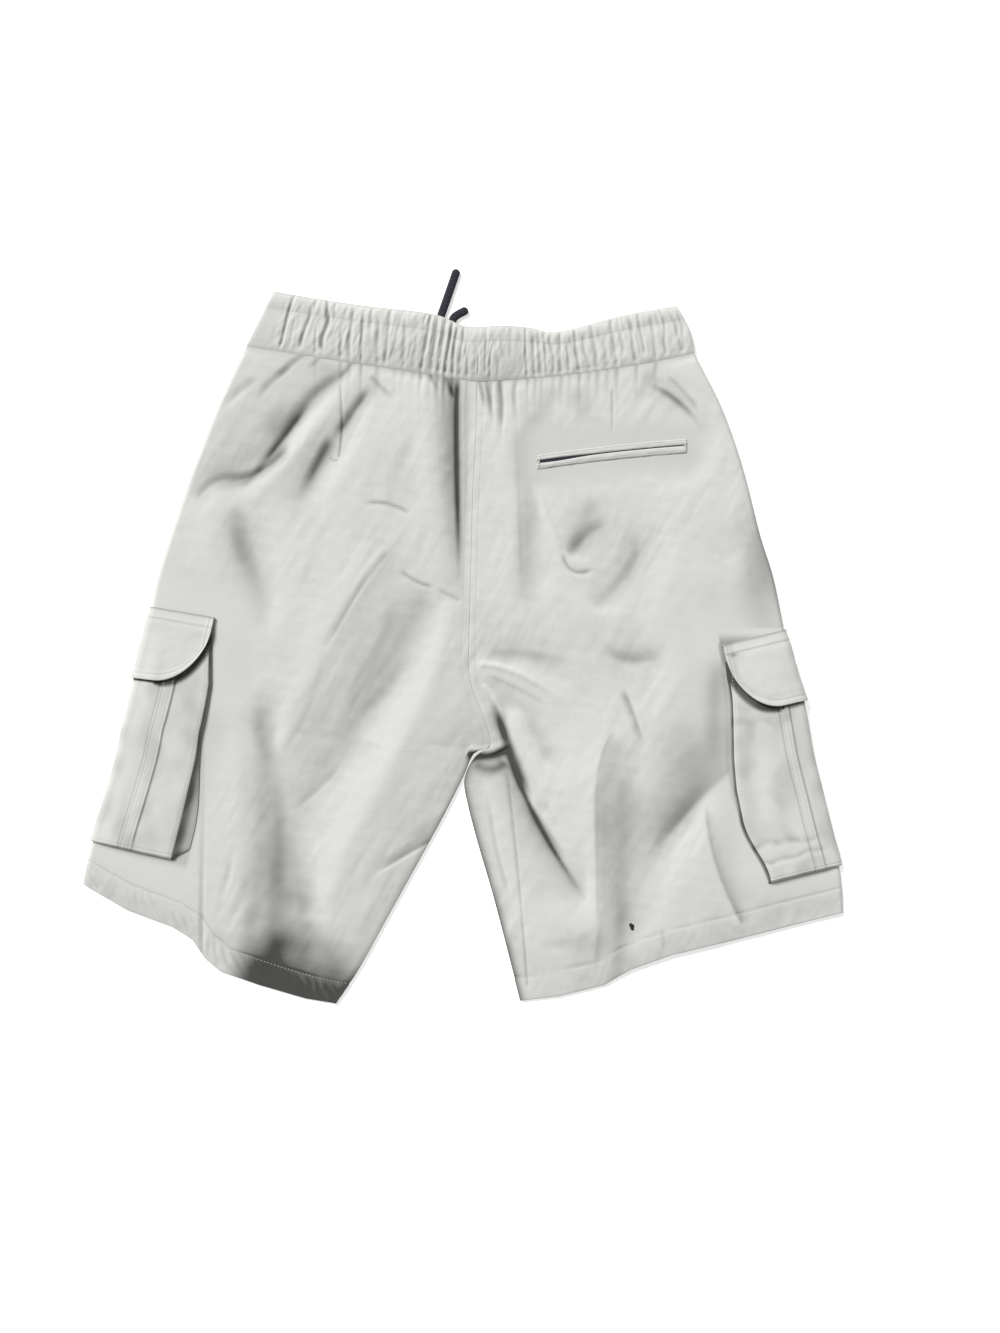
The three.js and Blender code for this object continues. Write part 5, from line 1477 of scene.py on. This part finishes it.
def band_piece(name, node, bottom, columns, rows, front):
    """One half of the band. The front half lies lower and flatter than the back one."""
    share, up = grid_of(np.linspace(0, 1, columns), np.linspace(0, 1, rows))
    x, y = band_plan(share, up)
    edge = np.clip(np.minimum(share, 1 - share) / 0.015, 0, 1)
    round_end = 0.35 + 0.65 * np.sqrt(1 - (1 - edge) ** 2)
    held = np.clip(np.minimum(up, 1.04 - up) / 0.10, 0.25, 1)
    height = between(BAND_SECTION, up) + gathers(1 - share if front else share, up) * held
    height = height * (FRONT_HEIGHT if front else 1.0)
    z = bottom + band_rise(x, up, front) + height * round_end
    tucked = 0 if front else smooth(-up, -0.012, 0)
    y, z = y - 0.8 * tucked, z - 0.3 * tucked
    points = np.stack([x, y, z], axis=-1)
    normals = np.cross(np.gradient(points, axis=0), np.gradient(points, axis=1))
    normals /= np.linalg.norm(normals, axis=-1, keepdims=True)
    # Painted shade: darker in the band's hollows and creases, a little lighter on its crests, and a
    # faint line along its stitch row.
    hollow = np.clip(blurred(z, 7, 2) - z, -0.5, 1.5)
    creases = np.clip(-creased(share, up, LONG_GATHERS) - 0.5, 0, 1.6)
    shade = 0.072 + 0.22 * hollow + 0.13 * creases + line(up - STITCH_ROW, 0.05, 0.015)
    if not front:
        sewn["band"] = contour(points, up, STITCH_ROW, each="row")[25:-25]
    points, normals, marks = rolled(
        points, normals, {"shade": shade}, "last_column", 2.2, BAND_SEWN_IN)
    points[..., 2] = np.maximum(points[..., 2], 0)
    band = quad_mesh(name, points[::-1], material=twill, marks={"shade": marks["shade"][::-1]})
    dressed(band, node)


band_piece("waistband_front_half", "waistband_front", FRONT_BOTTOM, 420, 24, True)
band_piece("waistband_back_half", "waistband_back", CASING + SEAM_GAP, 1300, 58, False)

# The stitching: rows of pale polyester thread, about three millimetres to a stitch, sunk a
# little into the cloth. Bar tacks close the ends of the slit.
STITCH_PITCH = 3.1
STITCH_LENGTH = 2.3
STITCH_HALF_WIDTH = 0.24
STITCH_HEIGHT = 0.26
STITCH_SUNK = 0.12
STITCH_RIBS = 4
STITCH_TAPER = (0.45, 1.0, 1.0, 0.45)
STITCH_ARCH = (-0.1, 1.0, 1.0, -0.1)
THREAD_PALE = (0.60, 0.60, 0.56, 1)
THREAD_DULL = (0.50, 0.50, 0.46, 1)
TACK_AT = (0.012, 0.988)
TACK_HALF_WIDTH = 0.7
TACK_ROWS = 6
TACK_FROM = -4.6
TACK_TO = 3.8


def stitched_rows(name, lines, pitch=STITCH_PITCH, length=STITCH_LENGTH):
    """One mesh of short threads that lie along the lines, highest in their middles."""
    upward = np.array([0.0, 0.0, 1.0])
    vertices, faces = [], []
    first = 0
    for row in lines:
        row = np.asarray(row, float)
        runs = np.linalg.norm(np.diff(row, axis=0), axis=1)
        row = row[np.concatenate([[True], runs > 1e-6])]
        travelled = distances_along(row)
        starts = np.arange(0.4, travelled[-1] - length, pitch)
        at = starts[:, None] + np.linspace(0, length, STITCH_RIBS)[None, :]
        middle = np.stack([np.interp(at, travelled, row[:, k]) for k in range(3)], axis=-1)
        aside = np.cross(middle[:, -1:] - middle[:, :1], upward)
        aside /= np.linalg.norm(aside, axis=-1, keepdims=True)
        half = aside * STITCH_HALF_WIDTH * np.array(STITCH_TAPER)[None, :, None]
        raised = upward * STITCH_HEIGHT * np.array(STITCH_ARCH)[None, :, None]
        sunk = upward * STITCH_SUNK
        ribs = np.stack([middle - half - sunk, middle + raised, middle + half - sunk], axis=2)
        vertices.append(ribs.reshape(-1, 3))
        index = first + np.arange(ribs.size // 3).reshape(ribs.shape[:3])
        faces.append(np.stack([index[:, 1:, :-1], index[:, 1:, 1:], index[:, :-1, 1:],
                               index[:, :-1, :-1]], axis=-1).reshape(-1, 4))
        first += len(vertices[-1])
    mesh = bpy.data.meshes.new(name)
    mesh.from_pydata((np.concatenate(vertices) * MM).tolist(), [],
                     np.concatenate(faces).tolist())
    mesh.polygons.foreach_set("use_smooth", [True] * len(mesh.polygons))
    mesh.materials.append(thread)
    stitches = bpy.data.objects.new(name, mesh)
    bpy.context.collection.objects.link(stitches)
    dressed(stitches)


def thread_finish():
    shader = Shader("pale_thread")
    place = shader.node("ShaderNodeTexCoord", {}, {}, output=3)
    uneven = shader.node("ShaderNodeTexNoise", {}, {"Vector": place, "Scale": 300.0, "Detail": 2.0})
    return shader.finish(shader.mix_colour(uneven, THREAD_PALE, THREAD_DULL), 0.7)


thread = thread_finish()
stitched_rows("leg_stitches", [sewn["hem_left"], sewn["hem_right"], sewn["centre_back"]])
stitched_rows("band_stitches", [sewn["band"]])
stitched_rows("pocket_stitches", [
    sewn[f"{kind}_{side}"] for side in LEGS
    for kind in ("pocket_edge", "pleat_near", "pleat_far", "pocket_foot")])
stitched_rows("flap_stitches", [
    sewn[f"{kind}_{side}"] for side in LEGS for kind in ("flap_top", "flap_edge")])
stitched_rows("welt_stitches", [sewn["upper_welt"], sewn["lower_welt"]], pitch=2.6, length=2.0)

tack_height = WELT_BASE + WALL + 0.1
bar_tacks = [
    [(*on_welt(share + step / 128, offset), tack_height) for offset in (TACK_FROM, TACK_TO)]
    for share in TACK_AT for step in np.linspace(-TACK_HALF_WIDTH, TACK_HALF_WIDTH, TACK_ROWS)]
stitched_rows("bar_tacks", bar_tacks, pitch=2.4, length=2.2)

# The fleck: one small dark spot on the right leg, where something has stained the cloth.
FLECK_AT = (143.7, -237.6)
FLECK_HALF = (2.1, 3.2)
FLECK_RINGS = (0.02, 0.5, 0.85, 1.0)
FLECK_POINTS = 24
FLECK_RAISED = 0.12
STAIN = (0.012, 0.010, 0.009, 1)

ring, turn = grid_of(FLECK_RINGS, np.arange(FLECK_POINTS) / FLECK_POINTS * 2 * np.pi)
bulge = ring * (1 + 0.10 * np.sin(3 * turn + 0.6) + 0.06 * np.sin(5 * turn))
fleck_x = FLECK_AT[0] + FLECK_HALF[0] * bulge * np.cos(turn + 0.35)
fleck_y = FLECK_AT[1] + FLECK_HALF[1] * bulge * np.sin(turn)
marked_leg = panels["back_right"].data
leg_places = np.empty(len(marked_leg.vertices) * 3, dtype=np.float32)
marked_leg.vertices.foreach_get("co", leg_places)
leg_places = leg_places.reshape(-1, 3) / MM
leg_places = leg_places[leg_places[:, 2] > 1.0]
gaps = ((leg_places[:, :1] - fleck_x.ravel()) ** 2 + (leg_places[:, 1:2] - fleck_y.ravel()) ** 2)
fleck_z = leg_places[gaps.argmin(axis=0), 2].reshape(fleck_x.shape)
fleck_z = 0.5 * fleck_z + 0.5 * fleck_z.max() + FLECK_RAISED
fleck = quad_mesh("dark_fleck", np.stack([fleck_x, fleck_y, fleck_z], axis=-1)[::-1],
                  closed_across=True, material=Shader("dark_stain").finish(STAIN, 0.85))
dressed(fleck)

# The eyelets that the cord leaves by: plain nickel rings of two parts, pressed together
# through the front of the band. They keep the shape that they have in the frame.
NICKEL = (0.50, 0.49, 0.46, 1)
nickel = Shader("nickel").finish(NICKEL, 0.32, Metallic=1.0)
for side in LEGS:
    for slot in bpy.data.objects[f"eyelet_{side}"].material_slots:
        slot.material = nickel
